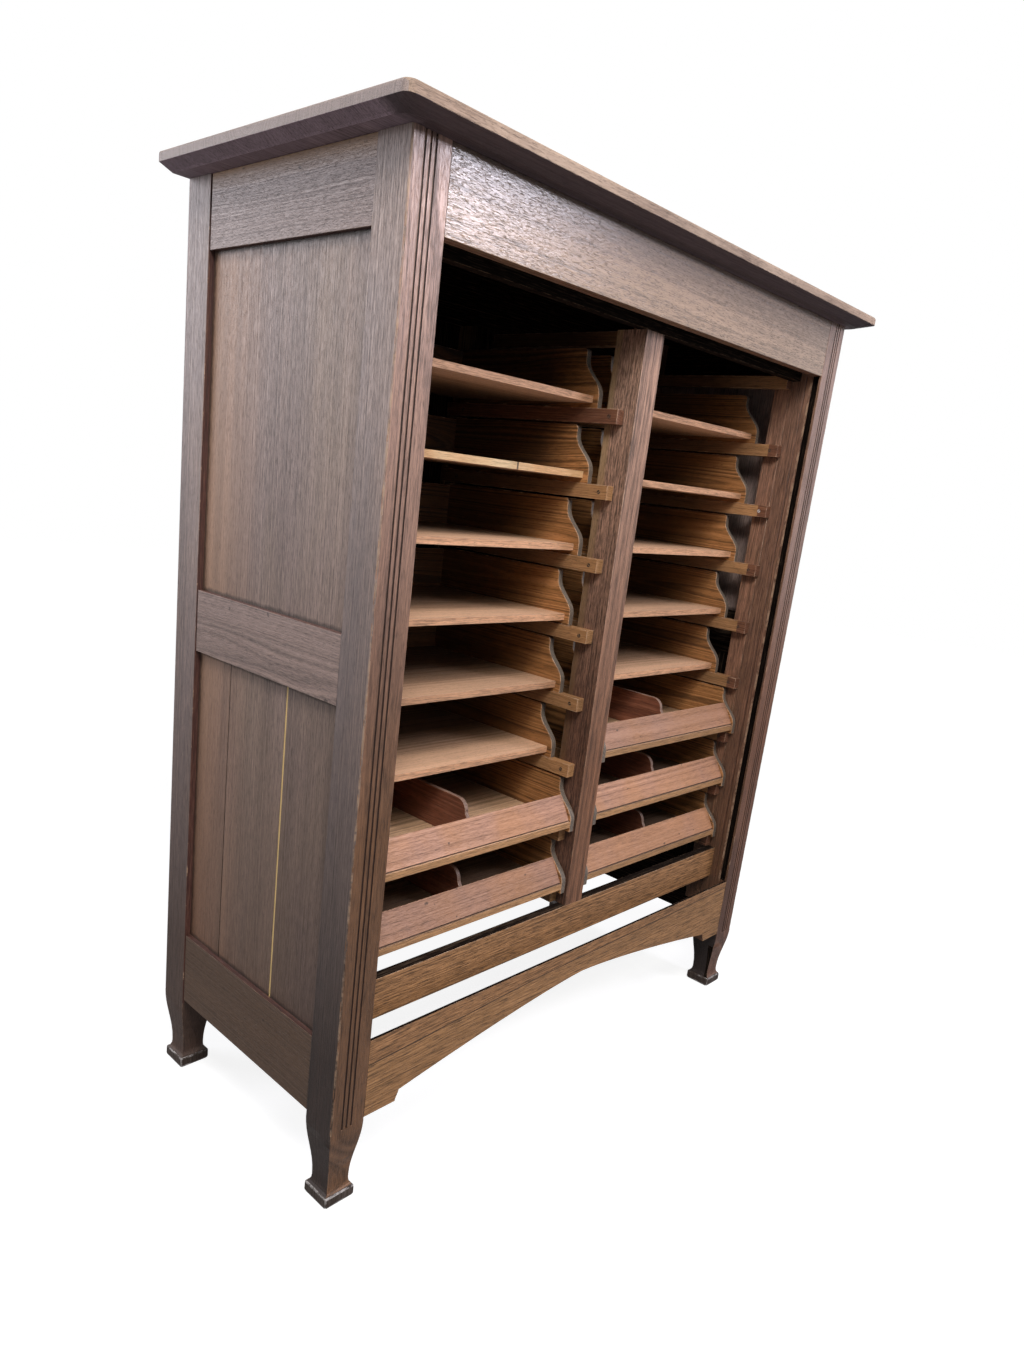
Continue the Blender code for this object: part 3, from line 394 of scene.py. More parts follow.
def wood(
    name,
    mid,
    worn,
    soot_and_shade,
    wear,
    dark=0.5,
    light=1.5,
    ring=3.2 * MM,
    ring_share=0.45,
    streak=(1.8 * MM, 34 * MM),
    streak_share=0.85,
    pore=(0.9 * MM, 11 * MM),
    pore_share=0.55,
    wander=5 * MM,
    band_share=0.16,
    other=None,
    patch_share=0.5,
    low_shade_and_dirt_tint=(1, 1, 1),
    low_reach=(0.15, 1.40),
    tone_share=0.10,
    wear_share=0.8,
    frame_dirt_and_shade=None,
    fade=None,
    deep=None,
    blots=None,
    marked_dark_share=0.85,
    rough=(0.42, 0.62),
    gloss=0.5,
):
    """A wood with rings, streaks, pores, worn arrises and patches where its stain has changed.

    streak and pore are a width and a length, and low_reach the heights between which
    low_shade_and_dirt_tint goes;
    low_shade_and_dirt_tint darkens the wood low down, for dirt and as painted shade.
    fade is the distances from an edge at which the board is pale and stained, the pale colour and its
    share. grime is how far dirt and painted shade reach in from the frame, over how much they go, and
    their share. deep is where, from front to back, the wood is unshaded and where it is painted dark
    as shade, and its share. blots is how many there are a metre, the range of the pattern that they
    take up, and their share.
    """
    material = bpy.data.materials.new(name)
    add = partial(add_node, emptied(material))
    glow = mixed(scaled(mid, light), worn, 0.12)
    darkest = mixed(scaled(mid, dark), soot_and_shade, 0.12)
    grain, place, reach = (
        add("ShaderNodeAttribute", attribute_name=layer).outputs["Vector"]
        for layer in ("grain", "board", "reach")
    )
    tone, round_edge, marked_dark = (
        add("ShaderNodeAttribute", attribute_name=layer).outputs["Fac"]
        for layer in ("tone", "worn", "grimy")
    )
    object_place = add("ShaderNodeTexCoord").outputs["Object"]
    _, behind, height = add("ShaderNodeSeparateXYZ", [object_place]).outputs

    def pattern(vector, repeats, detail, roughness=0.6):
        """A cloudy pattern, stretched by its repeats a metre in each direction."""
        stretched = add("ShaderNodeMapping", {"Vector": vector, "Scale": repeats})
        values = {"Vector": stretched, "Scale": 1, "Detail": detail, "Roughness": roughness}
        return add("ShaderNodeTexNoise", values)

    # The grain wanders slowly, over some 110 mm across the board and 620 mm along it
    drift = pattern(grain, (9, 9, 1.6), 2).outputs["Color"]
    swing = (2 * wander, 2 * wander, 0)
    bent = add("ShaderNodeVectorMath", [drift, swing, grain], operation="MULTIPLY_ADD")

    # Growth rings round the pith
    across = add("ShaderNodeVectorMath", [bent, (1 / ring, 1 / ring, 0)], operation="MULTIPLY")
    ring_count = add("ShaderNodeVectorMath", [across], operation="LENGTH").outputs["Value"]
    values = {"W": ring_count, "Scale": 1, "Detail": 2.5, "Roughness": 0.6}
    rings = add("ShaderNodeTexNoise", values, noise_dimensions="1D")

    # Streaks and pores follow the grain; the pores are drawn wider than real ones, to show
    streaks = pattern(bent, (1 / streak[0], 1 / streak[0], 1 / streak[1]), 3.5, 0.65)
    hollows = pattern(bent, (1 / pore[0], 1 / pore[0], 1 / pore[1]), 1)
    pores = add("ShaderNodeMapRange", [hollows, 0.54, 0.68])

    # Bands of tone some 31 mm wide and 670 mm long, and specks of 2.4 mm by 8 mm
    bands = pattern(grain, (32, 32, 1.5), 3)
    specks = pattern(bent, (420, 420, 130), 2)

    # Colour: rings and streaks pick a place between the dark and the light wood
    base = 0.5 - 0.5 * ring_share - 0.5 * streak_share
    ringed = add("ShaderNodeMath", [rings, ring_share, base], operation="MULTIPLY_ADD")
    figure = add("ShaderNodeMath", [streaks, streak_share, ringed], operation="MULTIPLY_ADD")
    ramp = [(DARK_AT, darkest), (MID_AT, mid), (LIGHT_AT, glow)]
    colour = add("ShaderNodeValToRGB", [figure], ramp=ramp)

    # Patches some 200 mm wide and 620 mm long where the stain has faded or kept another hue
    if other:
        ramp = [
            (DARK_AT, mixed(darkest, other, 0.5)),
            (MID_AT, other),
            (LIGHT_AT, mixed(glow, other, 0.4)),
        ]
        changed = add("ShaderNodeValToRGB", [figure], ramp=ramp)
        patches = pattern(object_place, (5, 5, 1.6), 4, 0.55)
        amount = add("ShaderNodeMapRange", [patches, 0.42, 0.58, 0, patch_share])
        colour = add("ShaderNodeMix", {0: amount, 6: colour, 7: changed}, data_type="RGBA")

    # One edge of the board has another colour than the rest: from use on some boards, painted light or
    # painted shade on others, as told at each finish
    if fade:
        pale_at, stained_at, pale, pale_share = fade
        from_edge = add("ShaderNodeVectorMath", [place, reach], operation="ADD")
        inward = add("ShaderNodeSeparateXYZ", [from_edge]).outputs["X"]
        ragged = add("ShaderNodeMath", [bands, 0.03, inward], operation="MULTIPLY_ADD")
        amount = add("ShaderNodeMapRange", [ragged, pale_at, stained_at, pale_share, 0])
        colour = add("ShaderNodeMix", {0: amount, 6: colour, 7: pale}, data_type="RGBA")

    # Lower down the wood is darker and warmer: partly dirt from hands, brooms and damp, partly painted
    # shade where less light falls near the floor
    lowness = add("ShaderNodeMapRange", [height, *low_reach, 1, 0])
    tints = {0: lowness, 6: WHITE, 7: (*low_shade_and_dirt_tint, 1)}
    low_shade_and_dirt = add("ShaderNodeMix", tints, data_type="RGBA")
    colour = add("ShaderNodeVectorMath", [colour, low_shade_and_dirt], operation="MULTIPLY")

    # Each board has its own depth of tone, and broad bands along the grain
    toned = add("ShaderNodeMath", [tone, tone_share, 1], operation="MULTIPLY_ADD")
    banded = add("ShaderNodeMapRange", [bands, 0.3, 0.7, 1 - band_share, 1 + band_share])
    depth = add("ShaderNodeMath", [toned, banded], operation="MULTIPLY")
    colour = add("ShaderNodeVectorMath", {0: colour, "Scale": depth}, operation="SCALE")

    # Soot has settled in the pores, more in some than in others
    speckled = add("ShaderNodeMapRange", [specks, 0.35, 0.62, 1, 0.25])
    filled = add("ShaderNodeMath", [pores, speckled], operation="MULTIPLY")
    pitted = add("ShaderNodeMath", [filled, pore_share], operation="MULTIPLY")
    colour = add("ShaderNodeMix", {0: pitted, 6: colour, 7: soot_and_shade}, data_type="RGBA")

    # Far inside the case the wood is painted dark: painted shade where little light reaches
    if deep:
        unshaded_at, dark_at, deep_shade_share = deep
        ragged = add("ShaderNodeMath", [bands, 0.04, behind], operation="MULTIPLY_ADD")
        amount = add("ShaderNodeMapRange", [ragged, unshaded_at, dark_at, 0, deep_shade_share])
        colour = add("ShaderNodeMix", {0: amount, 6: colour, 7: soot_and_shade}, data_type="RGBA")

    # A few dark knots and old ink spots
    if blots:
        repeats, blot_from, blot_to, blot_share = blots
        spots = pattern(object_place, (repeats, repeats, 1.4 * repeats), 2, 0.45)
        amount = add("ShaderNodeMapRange", [spots, blot_from, blot_to, 0, blot_share])
        colour = add("ShaderNodeMix", {0: amount, 6: colour, 7: soot_and_shade}, data_type="RGBA")

    # Each point's distance from the board's faces, and chips of wear some 14 mm by 22 mm
    beside = add("ShaderNodeVectorMath", [place], operation="ABSOLUTE")
    inward = add("ShaderNodeVectorMath", [reach, beside], operation="SUBTRACT")
    sideways, through, endways = add("ShaderNodeSeparateXYZ", [inward]).outputs
    chips = pattern(grain, (70, 70, 45), 6, 0.72)

    # Where the board meets its frame it is darker: dirt, and painted shade for the recess
    if frame_dirt_and_shade:
        frame_darkening_to, goes_over, dirt_and_shade_share = frame_dirt_and_shade
        nearest = add("ShaderNodeMath", [sideways, endways], operation="MINIMUM")
        edge = add("ShaderNodeMath", [chips, -2 * DIRT_AND_SHADE_SWAY, nearest], operation="MULTIPLY_ADD")
        start = frame_darkening_to - DIRT_AND_SHADE_SWAY
        amount = add("ShaderNodeMapRange", [edge, start, start + goes_over, dirt_and_shade_share, 0])
        colour = add("ShaderNodeMix", {0: amount, 6: colour, 7: soot_and_shade}, data_type="RGBA")

    # The arris is rubbed bare; its distance is the middle one of the three to the board's faces
    if wear_share:
        lesser = add("ShaderNodeMath", [sideways, through], operation="MINIMUM")
        greater = add("ShaderNodeMath", [sideways, through], operation="MAXIMUM")
        endmost = add("ShaderNodeMath", [greater, endways], operation="MINIMUM")
        from_arris = add("ShaderNodeMath", [lesser, endmost], operation="MAXIMUM")
        reached = add("ShaderNodeMapRange", [chips, 0.50, 0.70, 0, wear.edge_wear])
        past = add("ShaderNodeMath", [reached, from_arris], operation="SUBTRACT")
        rubbed = add("ShaderNodeMapRange", [past, 0, 0.3 * wear.edge_wear])
        frayed = add("ShaderNodeMapRange", [chips, 0.44, 0.58])
        rounded = add("ShaderNodeMath", [round_edge, frayed], operation="MULTIPLY")
        barest = add("ShaderNodeMath", [rubbed, rounded], operation="MAXIMUM")
        amount = add("ShaderNodeMath", [barest, wear_share], operation="MULTIPLY")
        colour = add("ShaderNodeMix", {0: amount, 6: colour, 7: worn}, data_type="RGBA")
    # Marked faces go dark: dirt in grooves and joints, painted shadow along the drawers' lower edges
    amount = add("ShaderNodeMath", [marked_dark, marked_dark_share], operation="MULTIPLY")
    colour = add("ShaderNodeMix", {0: amount, 6: colour, 7: soot_and_shade}, data_type="RGBA")

    # The wax left on the ridges is smoother than the open grain
    relief = add("ShaderNodeMath", [pores, -0.8, streaks], operation="MULTIPLY_ADD")
    bump = add("ShaderNodeBump", {"Strength": 0.8, "Distance": wear.pore_depth, "Height": relief})
    roughness = add("ShaderNodeMapRange", [figure, 0.3, 0.7, rough[1], rough[0]])
    values = {"Base Color": colour, "Roughness": roughness, "Specular IOR Level": gloss, "Normal": bump}
    surface = add("ShaderNodeBsdfPrincipled", values)
    add("ShaderNodeOutputMaterial", {"Surface": surface})
    return material


def metal(name, colour, tarnish, rough, metallic):
    """A small fixing's metal, with tarnish in patches a few millimetres wide."""
    material = bpy.data.materials.new(name)
    add = partial(add_node, emptied(material))
    object_place = add("ShaderNodeTexCoord").outputs["Object"]
    blots = add("ShaderNodeTexNoise", {"Vector": object_place, "Scale": 420, "Detail": 3})
    shade = add("ShaderNodeValToRGB", [blots], ramp=[(0.35, tarnish), (0.5, colour), (0.7, colour)])
    roughness = add("ShaderNodeMapRange", {"Value": blots, "To Min": rough + 0.15, "To Max": rough})
    values = {"Base Color": shade, "Roughness": roughness, "Metallic": metallic}
    surface = add("ShaderNodeBsdfPrincipled", values)
    add("ShaderNodeOutputMaterial", {"Surface": surface})
    return material


FINISHES = {}


def finish(context, name):
    """A wood or metal of the cabinet, made when it is first asked for."""
    if name in FINISHES:
        return FINISHES[name]
    stains, wear = context.scene.cabinet_stains, context.scene.cabinet_wear
    if name in ("iron", "steel"):
        colour = tuple(getattr(stains, name))
        # Old iron is rusted dull; the newer screw keeps its plating
        rough, metallic, dull = (0.55, 0.7, 0.35) if name == "iron" else (0.4, 0.4, 0.8)
        FINISHES[name] = metal(name, colour, scaled(colour, dull), rough, metallic)
        return FINISHES[name]
    rail_side = dict(
        low_shade_and_dirt_tint=(0.32, 0.24, 0.15), low_reach=(0.25, 1.05), wear_share=0.2, streak_share=0.6,
        streak=(1.5 * MM, 14 * MM), pore=(0.9 * MM, 7 * MM), wander=12 * MM, tone_share=0.14,
        blots=(60, 0.72, 0.76, 0.6),
    )
    post_side = dict(
        low_shade_and_dirt_tint=(0.08, 0.055, 0.045), low_reach=(0.25, 1.15), other=linear("#8a7f80"),
        patch_share=0.6, wear_share=0.5, tone_share=0.14, streak=(1.6 * MM, 26 * MM),
    )
    post_front = dict(
        low_shade_and_dirt_tint=(0.44, 0.345, 0.21), low_reach=(0.6, 1.42), dark=0.42, light=1.5, ring_share=0.6,
        other=linear("#846c6c"), patch_share=0.5, wear_share=0.45, marked_dark_share=0.12,
        tone_share=0.14, rough=(0.3, 0.46),
    )
    tray_side = dict(
        dark=0.42, light=1.5, ring=2.4 * MM, ring_share=1.2, streak=(1.3 * MM, 26 * MM),
        streak_share=0.6, rough=(0.35, 0.55), deep=(-0.05, 0.09, 0.6),
    )
    # Tray floors: paler at the front, partly from handling and partly a painted pool of light, and painted
    # darker towards the back as shade
    tray_floor = dict(
        dark=0.6, light=1.3, ring=7 * MM, ring_share=0.8, streak_share=0.6, tone_share=0.16,
        fade=(0.05, 0.15, linear("#d4aa8b"), 0.8), deep=(-0.07, 0.10, 0.65),
    )
    kinds = {
        # Stained and waxed oak, painted greyer where it faces the side for the cool light there, and
        # painted less dark at the rear's foot, as light
        "post_side": post_side,
        "post_side_rear": dict(post_side, stain="post_side", low_shade_and_dirt_tint=(0.22, 0.17, 0.14)),
        # The same stain at the front: pinkish above, orange-brown below, partly from rubbing and partly
        # painted sheen above and painted shade below
        "post_front": post_front,
        # The right front post: less painted shade low down than the left one
        "post_front_right": dict(post_front, stain="post_front", low_shade_and_dirt_tint=(0.74, 0.56, 0.42)),
        # Dark stain in the recesses with painted shade, chipped where things knocked against it
        "reveal": dict(dark=0.45, light=1.5, wear_share=0.9),
        # Short streaks in a wandering grain, with small knots, under the posts' grey stain
        "rail_side": rail_side,
        # A tan strip under the top board, where hands and cloths didn't reach
        "rail_top": dict(rail_side, stain="rail_side", fade=(0.112, 0.088, linear("#b8926f"), 0.9)),
        # Broad bands of stain, dirt and painted shade along the frame, and one side bleached by light
        "panel": dict(
            low_shade_and_dirt_tint=(0.42, 0.34, 0.28), low_reach=(0.2, 1.0), streak=(1.5 * MM, 20 * MM),
            other=linear("#a08a76"), patch_share=0.4, wear_share=0, tone_share=0.14, band_share=0.2,
            frame_dirt_and_shade=(10 * MM, 5 * MM, 0.75), fade=(0.375, 0.24, linear("#b48d72"), 0.65),
        ),
        # Rubbed bare on top and along the nose, dark where it was never touched
        "top_face": dict(
            other=linear("#b8a08c"), patch_share=0.6, dark=0.6, light=1.35, wear_share=0.6,
            rough=(0.55, 0.75),
        ),
        # End grain: specks in place of streaks
        "top_end": dict(
            dark=0.75, light=1.2, streak=(1.4 * MM, 3 * MM), band_share=0.08, wear_share=0.25
        ),
        # Dry and dull; painted nearly black along the front, as shade under the overhang
        "underside": dict(
            dark=0.6, light=1.3, wear_share=0, rough=(0.5, 0.65), fade=(0.05, 0.07, linear("#3a2c2e"), 0.85)
        ),
        # Waxed plain-sawn oak with long cathedral streaks; its upper part painted darker, as the overhang's
        # shadow
        "front_rail": dict(
            dark=0.45, light=1.35, ring=5 * MM, ring_share=0.6, streak=(1.4 * MM, 24 * MM),
            streak_share=0.9, pore=(1.4 * MM, 9 * MM), pore_share=0.7, wear_share=0.5,
            rough=(0.17, 0.28), fade=(0.095, 0.035, linear("#6d5a55"), 0.5),
        ),
        # Rubbed through to a warm brown, with long open streaks
        "warm_front": dict(
            low_shade_and_dirt_tint=(0.9, 0.8, 0.7), dark=0.32, light=1.65, rough=(0.4, 0.55), streak_share=1.1,
            streak=(2.4 * MM, 36 * MM), pore=(1.7 * MM, 16 * MM), pore_share=0.7, tone_share=0.12,
        ),
        "apron_foot": dict(
            low_shade_and_dirt_tint=(0.9, 0.8, 0.7), dark=0.36, light=1.5, rough=(0.4, 0.55), streak_share=1.0,
            streak=(2.4 * MM, 36 * MM), pore=(1.7 * MM, 16 * MM), pore_share=0.6,
        ),
        # Strong figure with the longest streaks, darker towards the floor, partly painted shade
        "centre_front": dict(
            low_shade_and_dirt_tint=(0.52, 0.40, 0.30), low_reach=(0.6, 1.42), dark=0.36, light=1.6, ring_share=0.7,
            streak_share=1.1, streak=(1.8 * MM, 45 * MM), wear_share=0.4,
        ),
        # Dark at the front and ochre along the rear edge, darker low down
        "centre_side": dict(
            low_shade_and_dirt_tint=(0.30, 0.235, 0.21), low_reach=(0.7, 1.35), dark=0.4, light=1.9, ring_share=0.7,
            streak_share=1.3, streak=(1.8 * MM, 16 * MM), pore=(1.1 * MM, 10 * MM), pore_share=0.75,
            wear_share=0.4, fade=(0.063, 0.057, linear("#ad9068"), 0.7),
        ),
        # Uneven stain, in patches, on the faces that look into the case
        "inner": dict(
            low_shade_and_dirt_tint=(0.52, 0.42, 0.36), dark=0.4, light=1.7, streak_share=1.2, wear_share=0.65,
            other=linear("#80634a"), patch_share=0.8,
        ),
        # Near-black painted shade for frame wood deep in the case; dull, so that it mirrors nothing
        "hidden": dict(dark=0.6, light=1.4, wear_share=0.2, rough=(0.75, 0.9), gloss=0.04),
        # Never finished, darkened by age
        "back": dict(
            dark=0.5, light=1.4, ring=6 * MM, ring_share=0.8, streak_share=0.7, tone_share=0.2,
            other=linear("#6a5644"), patch_share=0.7, frame_dirt_and_shade=(9 * MM, 12 * MM, 0.6),
            blots=(17, 0.68, 0.74, 0.75), rough=(0.6, 0.8),
        ),
        # Bare wood, painted darker towards the back as shade, and its ends stained with the case
        "runner": dict(dark=0.6, light=1.3, rough=(0.5, 0.7), tone_share=0.16, deep=(-0.11, 0.03, 0.65)),
        "runner_end": dict(dark=0.55, light=1.4, rough=(0.45, 0.65)),
        # Old varnish over plain-sawn wood: strong figure and a soft gloss, painted darker towards the back
        # as shade
        "tray_side": tray_side,
        # The two upper left trays are of wood with a wild, flamed figure
        "tray_side_flamed": dict(
            tray_side, stain="tray_side", ring=5 * MM, ring_share=1.4, wander=28 * MM, light=1.7,
            streak=(2.0 * MM, 20 * MM), deep=(-0.05, 0.02, 0.7),
        ),
        # End grain gone grey, and painted greyer as a reflection of the pale sky
        "tray_end": dict(dark=0.6, light=1.3, rough=(0.5, 0.7)),
        "tray_floor": tray_floor,
        # The lower drawers' floors are painted dark from behind their fronts on: painted shade under the
        # drawer above
        "drawer_floor": dict(tray_floor, stain="tray_floor", deep=(-0.26, -0.13, 0.75)),
        # Bare edges, each of its own tone
        "floor_edge": dict(dark=0.6, light=1.35, tone_share=0.2, streak_share=1.2, wear_share=0.3),
        # A bare edge with patches of old varnish
        "pale_edge": dict(
            dark=0.7, light=1.15, streak_share=1.1, other=linear("#c9925f"), patch_share=0.8,
            wear_share=0.2, pore_share=0.3,
        ),
        "base_edge": dict(dark=0.6, light=1.35, tone_share=0.2, streak_share=1.2, wear_share=0.3),
        # A thin reddish stain, gone in patches, with a few ink spots
        "drawer_front": dict(
            dark=0.5, light=1.35, ring=4 * MM, ring_share=0.6, streak=(1.4 * MM, 20 * MM),
            streak_share=0.7, pore_share=0.35, tone_share=0.14, other=linear("#b07c52"),
            patch_share=0.6, blots=(60, 0.72, 0.76, 0.7),
        ),
        # Red stain with a soft gloss, rubbed to a grey brown on the narrow faces
        "divider": dict(dark=0.55, light=1.4, wear_share=0.3, rough=(0.35, 0.5)),
        "divider_edge": dict(dark=0.6, light=1.3),
        # Wood that has seen neither stain nor light
        "tongue": dict(dark=0.75, light=1.2, wear_share=0, pore_share=0.2),
        # Nearly black with dirt, the edges scuffed pale
        "foot": dict(worn="scuffed", wear_share=1.0),
    }
    kind = dict(kinds[name])
    mid = tuple(getattr(stains, kind.pop("stain", name)))
    worn = tuple(getattr(stains, kind.pop("worn", "bare")))
    FINISHES[name] = wood(name, mid, worn, tuple(stains.soot_and_shade), wear, **kind)
    return FINISHES[name]


def cad_copy(name):
    """A copy of a CAD node's mesh, its loose triangles joined and its flat faces made whole."""
    shape = bmesh.new()
    shape.from_mesh(frame["nodes"][name].data)
    bmesh.ops.remove_doubles(shape, verts=shape.verts, dist=WELD)
    bmesh.ops.dissolve_limit(shape, angle_limit=FLAT_ANGLE, verts=shape.verts, edges=shape.edges)
    bmesh.ops.recalc_face_normals(shape, faces=shape.faces)
    return shape


def box_shape(low, high):
    """A squared board."""
    shape = bmesh.new()
    low, high = Vector(low), Vector(high)
    size = Matrix.Diagonal((*(high - low), 1))
    bmesh.ops.create_cube(shape, size=1, matrix=Matrix.Translation((low + high) / 2) @ size)
    return shape


def sharp(edge):
    """Whether an edge stands out sharply."""
    return edge.is_manifold and edge.is_convex and edge.calc_face_angle() > SHARP_ANGLE


def on_plane(edge, axis, level):
    """Whether an edge lies in a plane square to an axis."""
    return all(abs(vertex.co[axis] - level) < NEAR for vertex in edge.verts)


def runs_along(edge, axis):
    """Whether an edge runs along an axis."""
    return abs((edge.verts[1].co - edge.verts[0].co).normalized()[axis]) > SQUARELY


def ease(shape, width, chosen=lambda edge: True, mark=0, segments=2):
    """Rounds the chosen edges that aren't rounded yet, and marks the new faces."""
    marks = shape.faces.layers.int.get("mark") or shape.faces.layers.int.new("mark")
    edges = [
        edge
        for edge in shape.edges
        if sharp(edge) and chosen(edge) and not any(face[marks] for face in edge.link_faces)
    ]
    if not edges:
        return
    made = bmesh.ops.bevel(
        shape,
        geom=edges,
        offset=width,
        offset_type="OFFSET",
        segments=segments,
        profile=0.5,
        affect="EDGES",
        clamp_overlap=True,
    )
    for face in made["faces"]:
        face[marks] = mark
        face.smooth = True


def cut_across(shape, axis, place, keep_low=True, keep_high=True):
    """Cuts a shape at a plane, and closes it where one side is left out."""
    normal, point = Vector(), Vector()
    normal[axis], point[axis] = 1, place
    made = bmesh.ops.bisect_plane(
        shape,
        geom=[*shape.verts, *shape.edges, *shape.faces],
        plane_co=point,
        plane_no=normal,
        clear_inner=not keep_low,
        clear_outer=not keep_high,
        dist=CUT_REACH,
    )
    if not (keep_low and keep_high):
        rim = [item for item in made["geom_cut"] if isinstance(item, bmesh.types.BMEdge)]
        bmesh.ops.holes_fill(shape, edges=[edge for edge in rim if edge.is_boundary], sides=0)


def roughen(shape, along, step, depth):
    """Knocks the middle of the worn edges back unevenly, as chips."""
    marks = shape.faces.layers.int.get("mark")
    low = min(vertex.co[along] for vertex in shape.verts)
    high = max(vertex.co[along] for vertex in shape.verts)
    for place in np.arange(low + step, high - step / 2, step):
        cut_across(shape, along, place)
    shape.normal_update()
    for vertex in shape.verts:
        faces = vertex.link_faces
        if faces and all(face[marks] == WORN for face in faces):
            chip = noise.noise(vertex.co * COARSE_CHIPS) + 0.6 * noise.noise(vertex.co * FINE_CHIPS)
            vertex.co -= vertex.normal * depth * min(1, max(0, chip + 0.1) * 1.6)


def draw_line(shape, start, end, width):
    """Marks a thin dark line on the face that looks to the front, between two points (x, z)."""
    marks = shape.faces.layers.int.get("mark")
    run = Vector((end[0] - start[0], 0, end[1] - start[1]))
    across = Vector((-run.z, 0, run.x)).normalized()
    origin = Vector((start[0], 0, start[1]))
    for place in (start[0], end[0]):
        cut_across(shape, 0, place)

    def crossed(face):
        return face.normal.y < -SQUARELY and start[0] < face.calc_center_median().x < end[0]

    for side in (-0.5, 0.5):
        faces = [face for face in shape.faces if crossed(face)]
        edges = {edge for face in faces for edge in face.edges}
        bmesh.ops.bisect_plane(
            shape,
            geom=[*{vertex for edge in edges for vertex in edge.verts}, *edges, *faces],
            plane_co=origin + side * width * across,
            plane_no=across,
            dist=CUT_REACH,
        )
    for face in shape.faces:
        if crossed(face) and abs((face.calc_center_median() - origin).dot(across)) < width / 2:
            face[marks] = GRIME_AND_SHADE


def slab(name, low, high):
    """The part of a node's solid between two corners, closed again; None leaves a side open."""
    shape = cad_copy(name)
    for axis in range(3):
        if low[axis] is not None:
            cut_across(shape, axis, low[axis], keep_low=False)
        if high[axis] is not None:
            cut_across(shape, axis, high[axis], keep_high=False)
    bmesh.ops.recalc_face_normals(shape, faces=shape.faces)
    return shape


def extent(shape):
    """The corners of a shape's box."""
    points = [vertex.co for vertex in shape.verts]
    return (
        Vector(min(point[axis] for point in points) for axis in range(3)),
        Vector(max(point[axis] for point in points) for axis in range(3)),
    )


def mark_grain(mesh, boards, seed, whole=None):
    """Writes each face corner's place in its tree and in its board, or in a whole of boards."""
    points = np.empty(len(mesh.vertices) * 3)
    mesh.vertices.foreach_get("co", points)
    corner_vertex = np.empty(len(mesh.loops), dtype=np.int64)
    mesh.loops.foreach_get("vertex_index", corner_vertex)
    corners = points.reshape(-1, 3)[corner_vertex]
    centres = np.empty(len(mesh.polygons) * 3)
    mesh.polygons.foreach_get("center", centres)
    centres = centres.reshape(-1, 3)
    sides = np.empty(len(mesh.polygons), dtype=np.int64)
    mesh.polygons.foreach_get("loop_total", sides)
    owner = np.full(len(centres), len(boards) - 1)
    for index in reversed(range(len(boards))):
        low, high = np.array(boards[index][0]), np.array(boards[index][1])
        inside = np.all((centres > low - NEAR) & (centres < high + NEAR), axis=1)
        owner[inside] = index
    owner = np.repeat(owner, sides)
    grain = np.zeros_like(corners)
    place = np.zeros_like(corners)
    reach = np.zeros_like(corners)
    tone = np.zeros(len(corners))
    for index, (low, high, along, cut, *own_tone) in enumerate(boards):
        mine = owner == index
        low, high = np.array(low), np.array(high)
        half = (high - low) / 2
        rest = [axis for axis in range(3) if axis != along]
        rest.sort(key=lambda axis: -half[axis])
        order = [*rest, along]
        local = (corners[mine] - (low + high) / 2)[:, order]
        outer_low, outer_high = (np.array(corner) for corner in whole or (low, high))
        draw = random.Random(f"{seed} {index}")
        pith = draw.choice((-1, 1)) * QUARTER_PITH * draw.uniform(0.7, 1.3)
        under = draw.choice((-1, 1)) * PLAIN_PITH * draw.uniform(0.7, 1.5)
        if cut == "plain":
            pith = half[rest[0]] * draw.uniform(-0.6, 0.6)
        shift = draw.uniform(0, LOG_LENGTH)
        slope = draw.uniform(-1, 1) * GRAIN_SLOPE
        place[mine] = (corners[mine] - (outer_low + outer_high) / 2)[:, order]
        reach[mine] = ((outer_high - outer_low) / 2)[order]
        grain[mine] = local + np.array((pith, under, shift))
        grain[mine, 0] += slope * local[:, 2]
        tone[mine] = own_tone[0] if own_tone else draw.uniform(-1, 1)
    for name, values in (("grain", grain), ("board", place), ("reach", reach)):
        layer = mesh.attributes.new(name, "FLOAT_VECTOR", "CORNER")
        layer.data.foreach_set("vector", values.ravel())
    mesh.attributes.new("tone", "FLOAT", "CORNER").data.foreach_set("value", tone)
    flags = np.zeros(len(mesh.polygons), dtype=np.int32)
    marks = mesh.attributes.get("mark")
    if marks:
        marks.data.foreach_get("value", flags)
        mesh.attributes.remove(marks)
    flags = np.repeat(flags, sides)
    for name, mark in (("worn", WORN), ("grimy", GRIME_AND_SHADE)):
        values = (flags == mark).astype(float)
        mesh.attributes.new(name, "FLOAT", "CORNER").data.foreach_set("value", values)


def mesh_of(shape, name):
    """The plain mesh of a shape, which is used up."""
    mesh = bpy.data.meshes.new(name)
    shape.to_mesh(mesh)
    shape.free()
    return mesh


def placed(name, data):
    """A new object in the scene."""
    thing = bpy.data.objects.new(name, data)
    bpy.context.scene.collection.objects.link(thing)
    return thing


def finished(context, name, shapes, boards, finishes, body, nodes, choose=None, whole=None):
    """Makes one piece of one or more closed shapes, and lets it stand for its nodes."""
    joined = bmesh.new()
    joined.faces.layers.int.new("mark")
    for shape in shapes:
        part = mesh_of(shape, "part")
        joined.from_mesh(part)
        bpy.data.meshes.remove(part)
    if choose:
        for face in joined.faces:
            face.material_index = finishes.index(choose(face))
    mesh = mesh_of(joined, name)
    for finish_name in finishes:
        mesh.materials.append(finish(context, finish_name))
    mark_grain(mesh, boards, name, whole)
    piece = placed(name, mesh)
    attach(piece, body)
    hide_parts(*nodes)


